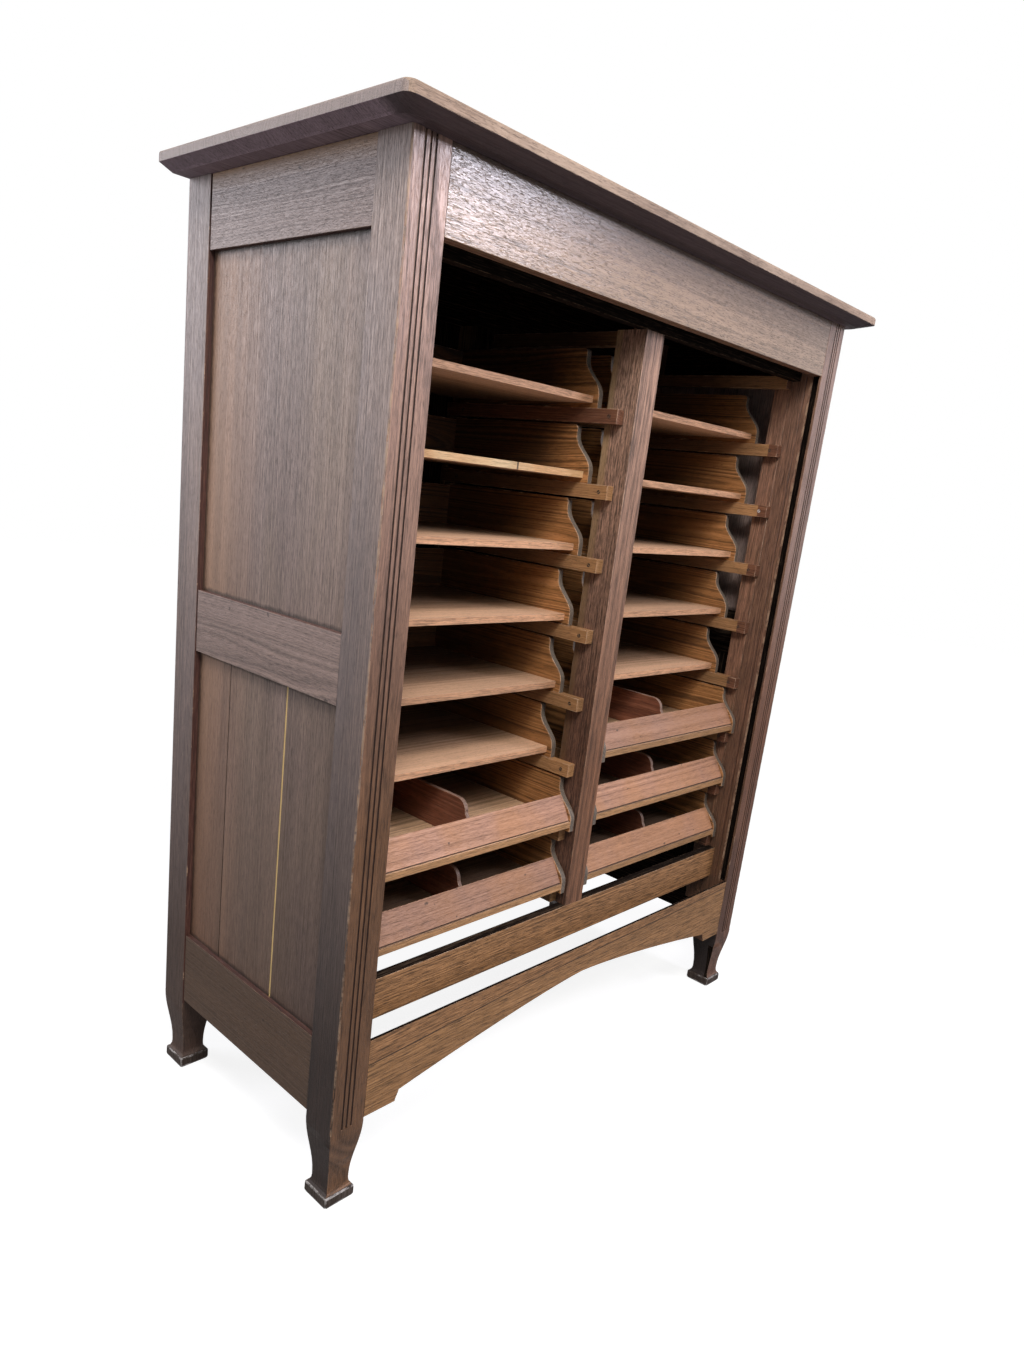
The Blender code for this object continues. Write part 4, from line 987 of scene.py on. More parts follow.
def planks(low, high, across, along, widths, tones=None, cut="quarter"):
    """The boards of a glued-up panel, their widths given as shares."""
    boards, start = [], low[across]
    for index, width in enumerate(widths):
        board_low, board_high = low.copy(), high.copy()
        board_low[across] = start
        start += (high[across] - low[across]) * width / sum(widths)
        board_high[across] = start
        tone = tones[index : index + 1] if tones else ()
        boards.append((board_low, board_high, along, cut, *tone))
    return boards


class CABINET_OT_top(bpy.types.Operator):
    """Dresses the overhanging top board, glued up of four planks"""

    bl_idname = "cabinet.top"
    bl_label = "Top board"

    def execute(self, context):
        wear = context.scene.cabinet_wear
        shape = cad_copy("top_board")
        low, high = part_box("top_board")
        ease(shape, 1.4 * wear.arris, lambda edge: edge.calc_length() > LONG_EDGE, WORN, 3)
        roughen(shape, 0, TOP_CHIP_STEP, 0.6 * wear.chip_depth)

        def choose(face):
            if face.normal.z < -LOOSELY:
                return "underside"
            return "top_end" if abs(face.normal.x) > TOP_END else "top_face"

        boards = planks(low, high, 1, 0, TOP_PLANKS, cut="plain")
        finishes = ["top_face", "top_end", "underside"]
        finished(
            context, "top_board_oak", [shape], boards, finishes, "case", ["top_board"], choose, (low, high)
        )
        return {"FINISHED"}


class CABINET_OT_posts(bpy.types.Operator):
    """Dresses the four corner posts with their legs and pad feet"""

    bl_idname = "cabinet.posts"
    bl_label = "Corner posts"

    def execute(self, context):
        for side, outward in SIDES:
            for row in ("front", "rear"):
                self.post(context, side, outward, row)
        return {"FINISHED"}

    def post(self, context, side, outward, row):
        """One post; the front ones are knocked and chipped, with dirt in the reeds and a groove."""
        wear = context.scene.cabinet_wear
        name = f"post_{row}_{side}"
        shape = cad_copy(name)
        low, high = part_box(name)
        outer, inner = (low.x, high.x) if outward < 0 else (high.x, low.x)

        def shaft(edge):
            return runs_along(edge, 2) and min(v.co.z for v in edge.verts) > LEG_TOP - NEAR

        def at_corner(edge):
            beside = on_plane(edge, 0, outer) or on_plane(edge, 0, inner)
            return beside and (on_plane(edge, 1, low.y) or on_plane(edge, 1, high.y))

        def knocked(edge):
            return shaft(edge) and on_plane(edge, 0, outer) and on_plane(edge, 1, low.y)

        if row == "front":
            ease(shape, wear.knocked_arris, knocked, WORN, 3)
        ease(shape, wear.arris, lambda e: shaft(e) and at_corner(e))
        for width, below in ((2.4 * wear.arris, FOOT_TOP), (wear.arris, LEG_TOP + NEAR)):
            ease(shape, width, lambda e: max(v.co.z for v in e.verts) < below, WORN, 3)
        ease(shape, wear.fine_arris, lambda e: shaft(e) and on_plane(e, 0, inner), WORN)
        if row == "front":
            roughen(shape, 2, POST_CHIP_STEP, wear.chip_depth)
            self.mark_front(shape, wear, low.y, high.z, abs(outer))

        def choose(face):
            middle = face.calc_center_median()
            if middle.z < FOOT_TOP:
                return "foot"
            if face.normal.x * outward > MOSTLY:
                # Recessed faces get the dark recess colour, partly painted shade
                recessed = abs(outer - middle.x) > REVEAL_DEPTH and middle.z > LEG_TOP
                plain = "post_side" if row == "front" else "post_side_rear"
                return "reveal" if recessed else plain
            # The shutter's groove is painted near black, as shade
            in_groove = GROOVE_FRONT - NEAR < middle.y - low.y < GROOVE_REAR + NEAR
            sunk = GROOVE_SHALLOW < abs(middle.x) - POST_INNER < GROOVE_DEEP
            if row == "front" and in_groove and sunk:
                return "hidden"
            if face.normal.x * outward < -MOSTLY:
                return "inner" if middle.z > LEG_TOP else "post_side"
            if row == "rear":
                # The rear post's front face in the recess gets the dark recess colour, partly painted shade
                recessed = face.normal.y < -MOSTLY and middle.z > LEG_TOP
                return "reveal" if recessed else "post_side_rear"
            return "post_front" if side == "left" else "post_front_right"

        boards = [
            ((low.x, low.y, 0), (high.x, high.y, PAD_TOP), 2, "quarter"),
            (low, high, 2, "quarter", POST_TONE_AND_LIGHT[name]),
        ]
        finishes = [
            "post_side", "post_side_rear", "post_front", "post_front_right", "reveal", "inner",
            "hidden", "foot",
        ]
        finished(context, name + "_oak", [shape], boards, finishes, "case", [name], choose)

    def mark_front(self, shape, wear, front, top, outer):
        """Marks the dirt in the reeds and the bare ridge that the shutter's slats have rubbed."""
        marks = shape.faces.layers.int["mark"]
        ridge = front + GROOVE_REAR
        ridge_end = ridge + 2 * wear.edge_wear
        for place in (ridge, ridge_end):
            cut_across(shape, 1, place)
        for face in shape.faces:
            middle = face.calc_center_median()
            rubbed = ridge < middle.y < ridge_end and middle.z > LEG_TOP
            if rubbed and abs(abs(middle.x) - POST_INNER) < NEAR:
                face[marks] = WORN
            sunk = REEDS_SHALLOW < middle.y - front < REEDS_DEEP
            if sunk and REEDS_FROM < outer - abs(middle.x) < REEDS_TO:
                face[marks] = WORN if middle.z > top - REEDS_BARE else GRIME_AND_SHADE


class CABINET_OT_sides(bpy.types.Operator):
    """Dresses the framed sides: rails, upper panels and the three lower boards"""

    bl_idname = "cabinet.sides"
    bl_label = "Framed sides"

    def execute(self, context):
        for side, outward in SIDES:
            for level in ("top", "middle", "bottom"):
                self.rail(context, side, outward, level)
            self.upper_panel(context, side)
            whole = (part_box(f"{side}_lower_board_front")[0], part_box(f"{side}_lower_board_rear")[1])
            for place, tone in LOWER_TONES.items():
                self.lower_board(context, side, outward, place, tone, whole)
        return {"FINISHED"}

    def upper_panel(self, context, side):
        """An upper panel, glued up of four boards that have aged apart."""
        name = f"{side}_upper_panel"
        shape = cad_copy(name)
        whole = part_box(name)
        boards = planks(*whole, 1, 2, SIDE_PLANKS, SIDE_TONES)
        finished(context, name + "_oak", [shape], boards, ["panel"], "case", [name], whole=whole)

    def rail(self, context, side, outward, level):
        """One rail, worn along its length, with dirt where it meets the posts."""
        wear = context.scene.cabinet_wear
        name = f"{side}_{level}_rail"
        shape = cad_copy(name)
        low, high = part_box(name)
        face_x = low.x if outward < 0 else high.x
        ease(shape, 2 * wear.arris, lambda e: on_plane(e, 0, face_x) and runs_along(e, 2), GRIME_AND_SHADE)
        ease(shape, wear.arris, lambda e: on_plane(e, 0, face_x) and runs_along(e, 1), WORN)
        shown = "rail_top" if level == "top" else "rail_side"

        def choose(face):
            if face.normal.x * outward > LOOSELY:
                return shown
            # Ledges get the dark recess colour with painted shade, and the inner faces are painted near
            # black as shade
            return "reveal" if abs(face.normal.z) > MOSTLY else "hidden"

        boards = [(low, high, 1, "plain", 1.4) if level == "middle" else (low, high, 1, "quarter", 0)]
        finishes = [shown, "reveal", "hidden"]
        finished(context, name + "_oak", [shape], boards, finishes, "case", [name], choose)

    def lower_board(self, context, side, outward, place, tone, whole):
        """One board of a lower panel; the front joint has opened and shows its bare tongue."""
        width = 1.6 * context.scene.cabinet_wear.arris
        name = f"{side}_lower_board_{place}"
        shape = cad_copy(name)
        low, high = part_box(name)
        face_x = low.x if outward < 0 else high.x
        joint = {"middle": high.y, "rear": low.y}.get(place)
        if joint is not None:
            ease(shape, width, lambda e: on_plane(e, 0, face_x) and on_plane(e, 1, joint), GRIME_AND_SHADE)
        shapes = [shape]
        if place == "front":
            # The tongue has swollen out to just below the boards' faces
            near = face_x - outward * TONGUE_SUNK
            far = near - outward * TONGUE_THICKNESS
            tongue_low = (min(near, far), JOINT_FRONT + BOARD_GAP, low.z)
            tongue_high = (max(near, far), JOINT_REAR - BOARD_GAP, high.z)
            shapes.append(box_shape(tongue_low, tongue_high))

        def choose(face):
            middle = face.calc_center_median()
            if JOINT_FRONT < middle.y < JOINT_REAR and abs(face.normal.x) > SQUARELY:
                return "tongue"
            # Faces towards the inside are painted near black, as shade
            return "panel" if face.normal.x * outward > LOOSELY else "hidden"

        boards = [(low, high, 2, "quarter", tone)]
        finishes = ["panel", "hidden", "tongue"]
        finished(context, name + "_oak", shapes, boards, finishes, "case", [name], choose, whole)


class CABINET_OT_front(bpy.types.Operator):
    """Dresses the front's rails, its arched apron and the centre post"""

    bl_idname = "cabinet.front"
    bl_label = "Front frame"

    def execute(self, context):
        self.board(context, "front_top_rail", 0, "front_rail", "inner", "plain")
        # The head rail behind the front rail is painted near black, as shade
        self.board(context, "inner_head_rail", 0, "hidden", "hidden")
        self.board(context, "lower_front_rail", 0, "warm_front", "inner")
        self.board(context, "front_apron", 0, "warm_front", "inner")
        self.board(context, "centre_post_front", 2, "centre_front", "centre_side")
        return {"FINISHED"}

    def board(self, context, name, along, face_finish, side_finish, cut="quarter"):
        """One board of the front, worn along its length, with dirt across its ends."""
        wear = context.scene.cabinet_wear
        shape = cad_copy(name)
        low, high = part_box(name)
        across = 2 - along
        ease(shape, wear.arris, lambda e: on_plane(e, 1, low.y) and not runs_along(e, across), WORN)
        ease(shape, wear.arris, lambda e: on_plane(e, 1, low.y) and runs_along(e, across), GRIME_AND_SHADE)
        if name == "front_apron":
            for start, end in zip(APRON_SHAKE, APRON_SHAKE[1:]):
                draw_line(shape, start, end, SHAKE_WIDTH)

        def choose(face):
            if face.normal.y < -LOOSELY:
                middle = face.calc_center_median()
                below = name == "front_apron" and middle.z < np.interp(middle.x, *zip(*APRON_SHAKE))
                return "apron_foot" if below else face_finish
            # Top faces of the lengthwise boards are painted near black, as shade
            return "hidden" if face.normal.z > MOSTLY and along == 0 else side_finish

        boards = [(low, high, along, cut)]
        finishes = list(dict.fromkeys((face_finish, "apron_foot", side_finish, "hidden")))
        finished(context, name + "_oak", [shape], boards, finishes, "case", [name], choose)


class CABINET_OT_back(bpy.types.Operator):
    """Dresses the framed back"""

    bl_idname = "cabinet.back"
    bl_label = "Framed back"

    def execute(self, context):
        wear = context.scene.cabinet_wear
        finishes = ["back", "hidden"]

        def choose(face):
            # The inner faces are painted near black, as shade
            return "hidden" if face.normal.y < -LOOSELY else "back"

        for name, along in (("back_top_rail", 0), ("back_bottom_rail", 0), ("centre_post_rear", 2)):
            shape = cad_copy(name)
            low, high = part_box(name)
            ease(shape, wear.arris, lambda e: on_plane(e, 1, high.y))
            boards = [(low, high, along, "quarter")]
            finished(context, name + "_oak", [shape], boards, finishes, "case", [name], choose)
        for name in ("back_panel_left", "back_panel_right"):
            shape = cad_copy(name)
            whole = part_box(name)
            boards = planks(*whole, 0, 2, BACK_PLANKS, cut="plain")
            finished(context, name + "_wood", [shape], boards, finishes, "case", [name], choose, whole)
        return {"FINISHED"}


def node_group(name, inputs, result):
    """A new group of geometry nodes, and what it is given."""
    group = bpy.data.node_groups.new(name, "GeometryNodeTree")
    for label, kind in inputs.items():
        group.interface.new_socket(label, in_out="INPUT", socket_type="NodeSocket" + kind)
    group.interface.new_socket(result, in_out="OUTPUT", socket_type="NodeSocketGeometry")
    return group, add_node(group, "NodeGroupInput").outputs


def close_group(group, instances, material):
    """Ends a group: its instances become a mesh of one material."""
    real = add_node(group, "GeometryNodeRealizeInstances", [instances])
    painted = add_node(group, "GeometryNodeSetMaterial", {"Geometry": real, "Material": material})
    add_node(group, "NodeGroupOutput", [painted])
    return group


def ladder_group():
    """Nodes that repeat a runner down the levels."""
    inputs = {"Runner": "Geometry", "Levels": "Int", "Pitch": "Float", "Material": "Material"}
    group, given = node_group("runner_ladder", inputs, "Runners")
    down = add_node(group, "ShaderNodeMath", [given["Pitch"], -1.0], operation="MULTIPLY")
    offset = add_node(group, "ShaderNodeCombineXYZ", {"Z": down})
    values = {"Count": given["Levels"], "Offset": offset}
    line = add_node(group, "GeometryNodeMeshLine", values, mode="OFFSET")
    values = {"Points": line, "Instance": given["Runner"]}
    rungs = add_node(group, "GeometryNodeInstanceOnPoints", values)
    return close_group(group, rungs, given["Material"])


def fixing_group():
    """Nodes that set a head on each point, square to the wood and turned at random."""
    inputs = {"Points": "Geometry", "Head": "Object", "Seed": "Int", "Material": "Material"}
    group, given = node_group("fixings", inputs, "Fixings")
    head = add_node(group, "GeometryNodeObjectInfo", {"Object": given["Head"]}).outputs["Geometry"]
    values = {"Name": "facing"}
    facing = add_node(group, "GeometryNodeInputNamedAttribute", values, data_type="FLOAT_VECTOR")
    square = add_node(group, "FunctionNodeAlignRotationToVector", {"Vector": facing}, axis="Z")
    values = {2: 0.0, 3: math.pi, 8: given["Seed"]}
    turn = add_node(group, "FunctionNodeRandomValue", values, data_type="FLOAT")
    spin = add_node(group, "FunctionNodeAxisAngleToRotation", {"Axis": (0, 0, 1), "Angle": turn})
    turned = add_node(group, "FunctionNodeRotateRotation", [square, spin], rotation_space="LOCAL")
    values = {"Points": given["Points"], "Instance": head, "Rotation": turned}
    heads = add_node(group, "GeometryNodeInstanceOnPoints", values)
    return close_group(group, heads, given["Material"])


def grown(name, mesh, group, values):
    """The plain mesh that a node group makes of a mesh."""
    source = placed(name, mesh)
    modifier = source.modifiers.new(name, "NODES")
    modifier.node_group = group
    for item in group.interface.items_tree:
        if item.in_out == "INPUT" and item.name in values:
            modifier[item.identifier] = values[item.name]
    source.update_tag()
    evaluated = source.evaluated_get(bpy.context.evaluated_depsgraph_get())
    result = bpy.data.meshes.new_from_object(evaluated)
    bpy.data.objects.remove(source)
    result.name = name
    return result


class CABINET_OT_runners(bpy.types.Operator):
    """Builds the runners level by level, with the stiles and battens that carry them"""

    bl_idname = "cabinet.runners"
    bl_label = "Runners"

    def execute(self, context):
        group = ladder_group()
        for side, way in SIDES:
            for place in ("wall", "centre"):
                self.column(context, group, side, way, place)
        return {"FINISHED"}

    def column(self, context, group, side, way, place):
        """The runners along one side of a column, with the boards that carry them."""
        wear = context.scene.cabinet_wear
        name = f"{side}_{place}_runners"
        low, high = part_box(name)
        inner, outer = sorted((abs(low.x), abs(high.x)))
        ends = sorted((way * inner, way * (inner + RUNNER_WIDTH)))
        front, rear = low.y, high.y
        behind_post = FRONT_FACE + POST_SIZE + PLAY
        tops = [FIRST_RUNNER_TOP - PITCH * level for level in range(LEVELS)]
        strips = [((ends[0], front, top - RUNNER_HEIGHT), (ends[1], rear, top)) for top in tops]
        runner = box_shape(*strips[0])
        ease(runner, wear.fine_arris, mark=WORN)
        cut_across(runner, 1, front + STAINED_END)
        values = {"Levels": LEVELS, "Pitch": PITCH, "Material": finish(context, "runner")}
        ladder = bmesh.new()
        ladder.from_mesh(grown(name, mesh_of(runner, "runner"), group, values))
        shapes = [ladder]
        if side == "right":
            start = front if place == "centre" else behind_post
            tops.insert(0, FIRST_RUNNER_TOP + SPARE_RISE)
            strips.append(((ends[0], start, tops[0] - RUNNER_HEIGHT), (ends[1], rear, tops[0])))
            spare = box_shape(*strips[-1])
            ease(spare, wear.fine_arris, mark=WORN)
            shapes.append(spare)
        if place == "wall":
            width = sorted((way * (inner + RUNNER_WIDTH + STILE_GAP), way * outer))
            starts = (behind_post, REAR_FACE - POST_SIZE - PLAY - STILE_DEPTH)
            carriers = [
                ((width[0], start, low.z), (width[1], start + STILE_DEPTH, high.z)) for start in starts
            ]
        else:
            carriers = [
                (
                    (ends[0] + PLAY, rear - BATTEN_THICKNESS, below),
                    (ends[1] - PLAY, rear - PLAY, above - RUNNER_HEIGHT),
                )
                for above, below in zip(tops, tops[1:])
            ]
        for corners in carriers:
            shape = box_shape(*corners)
            ease(shape, wear.fine_arris, lambda e: runs_along(e, 2), WORN)
            shapes.append(shape)

        def choose(face):
            middle = face.calc_center_median()
            if abs(middle.x) > POST_INNER - STILE_FACE:
                return "inner"
            first = -NEAR - RUNNER_HEIGHT < middle.z - FIRST_RUNNER_TOP < NEAR
            stained = middle.y < front + STAINED_END if side == "right" else first
            return "runner_end" if stained else "runner"

        boards = [(*strip, 1, "quarter") for strip in strips]
        boards += [(*corners, 2, "quarter") for corners in carriers]
        finishes = ["runner", "runner_end", "inner"]
        finished(context, name + "_wood", shapes, boards, finishes, "case", [name], choose)


class CABINET_OT_trays(bpy.types.Operator):
    """Builds the sliding trays and drawers, board by board"""

    bl_idname = "cabinet.trays"
    bl_label = "Trays and drawers"

    def execute(self, context):
        for body in frame["bodies"]:
            if body != "case":
                self.tray(context, body)
            if "drawer" in body:
                self.drawer_front(context, body)
                self.divider(context, body)
        return {"FINISHED"}

    def tray(self, context, body):
        """Two shaped sides, a floor and a back board."""
        wear = context.scene.cabinet_wear
        low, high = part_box(body)
        left, right = low.x + SIDE_THICKNESS, high.x - SIDE_THICKNESS
        floor_top = low.z + FLOOR_TOP
        back = high.y - TRAY_BACK_FRONT
        gap = BOARD_GAP
        shapes = [
            slab(body, (None, None, None), (left - gap, None, None)),
            slab(body, (right + gap, None, None), (None, None, None)),
            slab(body, (left + gap, None, None), (right - gap, None, floor_top - gap)),
            slab(body, (left + gap, back, floor_top + gap), (right - gap, None, None)),
        ]
        floor = shapes[2]

        def shaped_end(edge):
            faces = edge.link_faces
            curved = any(face.normal.y < -SHAPED_END for face in faces)
            return curved and any(abs(face.normal.x) > SQUARELY for face in faces)

        boards = []
        for shape, along in zip(shapes, (1, 1, 0, 0)):
            boards.append((*extent(shape), along, "plain"))
            if along == 1:
                # The shaped ends are rounded over by years of sliding papers in and out
                ease(shape, wear.worn_end, shaped_end, WORN)
            ease(shape, wear.fine_arris, mark=WORN)
        side_finish = "tray_side_flamed" if body in FLAMED_TRAYS else "tray_side"
        floor_finish = "drawer_floor" if body in SHADED_DRAWERS else "tray_floor"
        edge_finish = "base_edge" if "drawer" in body else "floor_edge"
        if body == PALE_TRAY:
            edge_finish = "pale_edge"
            for place in NICK:
                cut_across(floor, 0, place)
            marks = floor.faces.layers.int["mark"]
            for face in floor.faces:
                if face.normal.y < -LOOSELY and NICK[0] < face.calc_center_median().x < NICK[1]:
                    face[marks] = GRIME_AND_SHADE

        def choose(face):
            middle = face.calc_center_median()
            in_front = face.normal.y < -SHAPED_END
            if not left < middle.x < right:
                return "tray_end" if in_front and abs(face.normal.x) < LOOSELY else side_finish
            if middle.z > floor_top:
                return side_finish
            return edge_finish if in_front else floor_finish

        finishes = [side_finish, "tray_end", floor_finish, edge_finish]
        finished(context, body + "_wood", shapes, boards, finishes, body, [body], choose)

    def drawer_front(self, context, body):
        """A drawer's leaning front, with a painted shadow line along its lower edge."""
        wear = context.scene.cabinet_wear
        name = body + "_front"
        shape = cad_copy(name)
        foot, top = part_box(name)
        lower_edge = 4.5 * wear.fine_arris
        ease(shape, lower_edge, lambda e: on_plane(e, 2, foot.z) and on_plane(e, 1, foot.y), GRIME_AND_SHADE)
        ease(shape, wear.fine_arris, mark=WORN)
        boards = [(foot, top, 0, "plain")]
        finished(context, name + "_wood", [shape], boards, ["drawer_front"], body, [name])

    def divider(self, context, body):
        """The board down a drawer's middle, with rubbed edges."""
        wear = context.scene.cabinet_wear
        name = body + "_divider"
        shape = cad_copy(name)
        ease(shape, wear.fine_arris, mark=WORN)

        def choose(face):
            return "divider_edge" if abs(face.normal.x) < DIVIDER_FACE else "divider"

        boards = [(*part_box(name), 1, "plain")]
        finishes = ["divider", "divider_edge"]
        finished(context, name + "_wood", [shape], boards, finishes, body, [name], choose)


def screw_head(diameter):
    """A slotted countersunk head, its face just proud of the wood."""
    shape = bmesh.new()
    radius, slot, proud, sunk, steps = diameter / 2, 0.08 * diameter, 0.35 * MM, 1.0 * MM, 10
    start = math.asin(slot / radius)
    for turn in (0, math.pi):
        arc = [start + (math.pi - 2 * start) * step / steps for step in range(steps + 1)]
        rim = [(radius * math.cos(a + turn), radius * math.sin(a + turn)) for a in arc]
        face = shape.faces.new([shape.verts.new((x, y, -sunk)) for x, y in rim])
        lifted = bmesh.ops.extrude_face_region(shape, geom=[face])["geom"]
        tops = [item for item in lifted if isinstance(item, bmesh.types.BMVert)]
        for vertex in tops:
            off = math.hypot(vertex.co.x, vertex.co.y) / radius
            vertex.co.z = proud * (1 - 0.5 * off * off)
    bmesh.ops.create_cone(
        shape,
        cap_ends=True,
        segments=2 * steps,
        radius1=0.5 * radius,
        radius2=0.98 * radius,
        depth=1.2 * MM,
        matrix=Matrix.Translation((0, 0, -sunk)),
    )
    bmesh.ops.recalc_face_normals(shape, faces=shape.faces)
    return shape


def nail_head(diameter):
    """A hammered round head with a flattened dome."""
    shape = bmesh.new()
    corners = 12
    loops = []
    for height, radius in ((-0.8, 0.42), (0.0, 0.5), (0.12, 0.45), (0.2, 0.25)):
        loops.append([
            shape.verts.new((
                diameter * radius * math.cos(math.tau * step / corners),
                diameter * radius * math.sin(math.tau * step / corners),
                height * MM,
            ))
            for step in range(corners)
        ])
    shape.faces.new(loops[0][::-1])
    shape.faces.new(loops[-1])
    for lower, upper in zip(loops, loops[1:]):
        for step in range(corners):
            after = (step + 1) % corners
            shape.faces.new((lower[step], lower[after], upper[after], upper[step]))
    return shape


class CABINET_OT_fixings(bpy.types.Operator):
    """Sets the screws of the runners and the nails of the trays"""

    bl_idname = "cabinet.fixings"
    bl_label = "Screws and nails"

    def execute(self, context):
        wear = context.scene.cabinet_wear
        group = fixing_group()
        screw = bpy.data.objects.new("screw", mesh_of(screw_head(wear.screw_head), "screw"))
        nail = bpy.data.objects.new("nail", mesh_of(nail_head(wear.nail_head), "nail"))
        screws, new_screws = self.screw_points()
        self.fix(context, "runner_screws", screws, screw, "iron", group, "case", "runner_wood")
        self.fix(context, "runner_new_screw", new_screws, screw, "steel", group, "case", "runner_wood")
        for body in frame["bodies"]:
            if body != "case":
                points = self.nail_points(*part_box(body))
                self.fix(context, body + "_nails", points, nail, "iron", group, body, "tray_wood")
        for head in (screw, nail):
            bpy.data.objects.remove(head)
        return {"FINISHED"}

    @staticmethod
    def screw_points():
        """Two screws in each runner; the front one of the second runner at the right wall is new."""
        old, new = [], []
        for side, way in SIDES:
            for place in ("wall", "centre"):
                low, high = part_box(f"{side}_{place}_runners")
                inner = min(abs(low.x), abs(high.x))
                shown = way * (inner if place == "wall" else inner + RUNNER_WIDTH)
                facing = -way if place == "wall" else way
                for level in range(LEVELS):
                    height = FIRST_RUNNER_TOP - PITCH * level - RUNNER_HEIGHT / 2
                    for depth in (low.y + SCREW_FROM_FRONT, high.y - SCREW_FROM_REAR):
                        replaced = (side, place, level, depth < 0) == ("right", "wall", 1, True)
                        kept = new if replaced else old
                        kept.append(((shown, depth, height), (facing, 0, 0)))
        return old, new

    @staticmethod
    def nail_points(low, high):
        """Nails through a tray's sides into its floor and its back board."""
        points = []
        first, last = low.y + NAIL_FROM_FRONT, high.y - NAIL_FROM_REAR
        for x, facing in ((low.x, -1), (high.x, 1)):
            for depth in np.linspace(first, last, FLOOR_NAILS):
                points.append(((x, depth, low.z + FLOOR_RISE + NAIL_IN_FLOOR), (facing, 0, 0)))
            for rise in BACK_NAIL_HEIGHTS:
                points.append(((x, high.y - NAIL_IN_BACK, low.z + rise), (facing, 0, 0)))
        return points

    def fix(self, context, name, points, head, metal_name, group, body, slot):
        """One mesh of fixings for a body."""
        mesh = bpy.data.meshes.new(name)
        mesh.from_pydata([place for place, facing in points], [], [])
        facing = mesh.attributes.new("facing", "FLOAT_VECTOR", "POINT")
        facing.data.foreach_set("vector", [value for place, way in points for value in way])
        seed, material = context.scene.cabinet_wear.seed, finish(context, metal_name)
        piece = placed(name, grown(name, mesh, group, {"Head": head, "Seed": seed, "Material": material}))
        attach(piece, body)


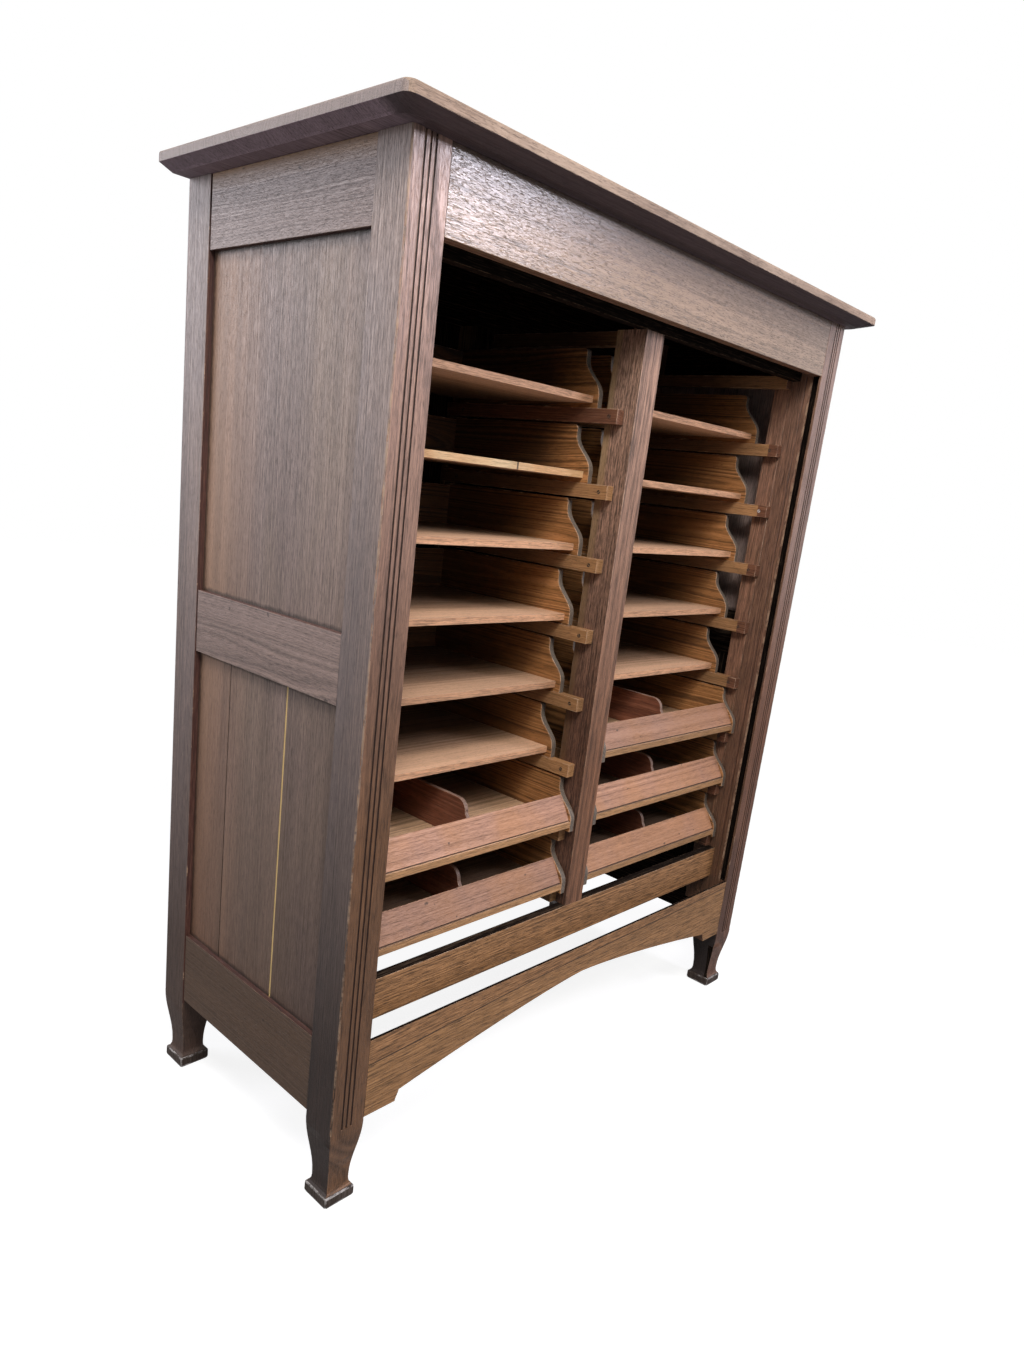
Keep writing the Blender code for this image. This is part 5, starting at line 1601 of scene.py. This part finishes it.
class CABINET_OT_stage(bpy.types.Operator):
    """Sets the camera, the lamps, the pale floor and the white surround"""

    bl_idname = "cabinet.stage"
    bl_label = "Camera, lamps and floor"

    def execute(self, context):
        stage = context.scene.cabinet_stage
        self.camera(context.scene, stage)
        for name, (place, aim, width, height, colour) in LAMPS.items():
            self.lamp(name, place, aim, width, height, getattr(stage, name), colour)
        self.surround(context.scene, stage)
        self.floor(stage)
        context.scene.view_settings.view_transform = "Standard"
        return {"FINISHED"}

    @staticmethod
    def camera(scene, stage):
        """The camera where the photo was taken from."""
        camera = placed("camera", bpy.data.cameras.new("camera"))
        scene.camera = camera
        camera.data.lens = stage.lens
        camera.data.sensor_width = SENSOR_WIDTH
        camera.data.shift_x, camera.data.shift_y = CAMERA_SHIFT
        camera.data.clip_start = NEAREST_SEEN
        right, up = Vector(CAMERA_RIGHT), Vector(CAMERA_UP)
        turn = Matrix((right, up, right.cross(up))).transposed().to_4x4()
        camera.matrix_world = Matrix.Translation(CAMERA_PLACE) @ turn

    @staticmethod
    def lamp(name, place, aim, width, height, watts, colour):
        """A soft rectangular lamp that looks at a point."""
        light = bpy.data.lights.new(name, "AREA")
        light.shape = "RECTANGLE"
        light.size = width
        light.size_y = height
        light.energy = watts
        light.color = colour
        lamp = placed(name, light)
        lamp.location = place
        lamp.rotation_euler = (Vector(aim) - Vector(place)).to_track_quat("-Z", "Y").to_euler()

    @staticmethod
    def surround(scene, stage):
        """White to the camera, in a mirror and through glass; a faint light from all round."""
        scene.world = bpy.data.worlds.new("white_surround")
        add = partial(add_node, emptied(scene.world))
        path = add("ShaderNodeLightPath").outputs
        direct = [path["Is Camera Ray"], path["Is Glossy Ray"]]
        mirrored = add("ShaderNodeMath", direct, operation="MAXIMUM")
        seen = add("ShaderNodeMath", [mirrored, path["Is Transmission Ray"]], operation="MAXIMUM")
        air = add("ShaderNodeBackground", {"Color": AIR_COLOUR, "Strength": stage.air_light})
        white = add("ShaderNodeBackground", {"Color": WHITE, "Strength": 1})
        blend = add("ShaderNodeMixShader", [seen, air, white])
        add("ShaderNodeOutputWorld", {"Surface": blend})

    @staticmethod
    def floor(stage):
        """Nearly white paper to the camera, with the shadow left in; a mid grey to all else.

        Its specks are 5 to 6 mm wide.
        """
        material = bpy.data.materials.new("pale_floor")
        add = partial(add_node, emptied(material))
        path = add("ShaderNodeLightPath").outputs["Is Camera Ray"]
        place = add("ShaderNodeTexCoord").outputs["Object"]
        speckle = add("ShaderNodeTexNoise", {"Vector": place, "Scale": 180, "Detail": 3})
        pale = add("ShaderNodeMapRange", {"Value": speckle, "To Min": 0.98, "To Max": 1.0})
        away = add("ShaderNodeVectorMath", [place], operation="LENGTH").outputs["Value"]
        reach = {"Value": away, "From Min": NEAR_FLOOR, "From Max": FAR_FLOOR}
        far = add("ShaderNodeMapRange", reach, interpolation_type="SMOOTHSTEP")
        grey = (*[stage.floor_grey] * 3, 1)
        plain = add("ShaderNodeBsdfDiffuse", {"Color": grey})
        glow = add("ShaderNodeEmission", {"Color": pale, "Strength": NEAR_GLOW})
        near = add("ShaderNodeAddShader", [plain, glow])
        white = add("ShaderNodeEmission", {"Color": pale, "Strength": FAR_GLOW})
        shown = add("ShaderNodeMixShader", [far, near, white])
        blend = add("ShaderNodeMixShader", [path, plain, shown])
        add("ShaderNodeOutputMaterial", {"Surface": blend})
        shape = bmesh.new()
        bmesh.ops.create_circle(shape, cap_ends=True, segments=96, radius=FLOOR_RADIUS)
        mesh = mesh_of(shape, "floor")
        mesh.materials.append(material)
        placed("floor", mesh)


OPERATORS = (
    CABINET_OT_top,
    CABINET_OT_posts,
    CABINET_OT_sides,
    CABINET_OT_front,
    CABINET_OT_back,
    CABINET_OT_runners,
    CABINET_OT_trays,
    CABINET_OT_fixings,
    CABINET_OT_stage,
)


class CABINET_PT_finish(bpy.types.Panel):
    """Lists the steps that dress the cabinet"""

    bl_idname = "CABINET_PT_finish"
    bl_label = "Notary cabinet"
    bl_space_type = "VIEW_3D"
    bl_region_type = "UI"
    bl_category = "Cabinet"

    def draw(self, context):
        column = self.layout.column(align=True)
        for operator in OPERATORS:
            column.operator(operator.bl_idname)
        for group in ("cabinet_wear", "cabinet_stage", "cabinet_stains"):
            values = getattr(context.scene, group)
            for name in values.__annotations__:
                self.layout.prop(values, name)


CLASSES = (CabinetStains, CabinetWear, CabinetStage, *OPERATORS, CABINET_PT_finish)


def register():
    for item in CLASSES:
        bpy.utils.register_class(item)
    bpy.types.Scene.cabinet_stains = bpy.props.PointerProperty(type=CabinetStains)
    bpy.types.Scene.cabinet_wear = bpy.props.PointerProperty(type=CabinetWear)
    bpy.types.Scene.cabinet_stage = bpy.props.PointerProperty(type=CabinetStage)


def unregister():
    del bpy.types.Scene.cabinet_stage
    del bpy.types.Scene.cabinet_wear
    del bpy.types.Scene.cabinet_stains
    for item in reversed(CLASSES):
        bpy.utils.unregister_class(item)


def main():
    register()
    for operator in OPERATORS:
        group, name = operator.bl_idname.split(".")
        getattr(getattr(bpy.ops, group), name)()


if __name__ == "__main__":
    main()
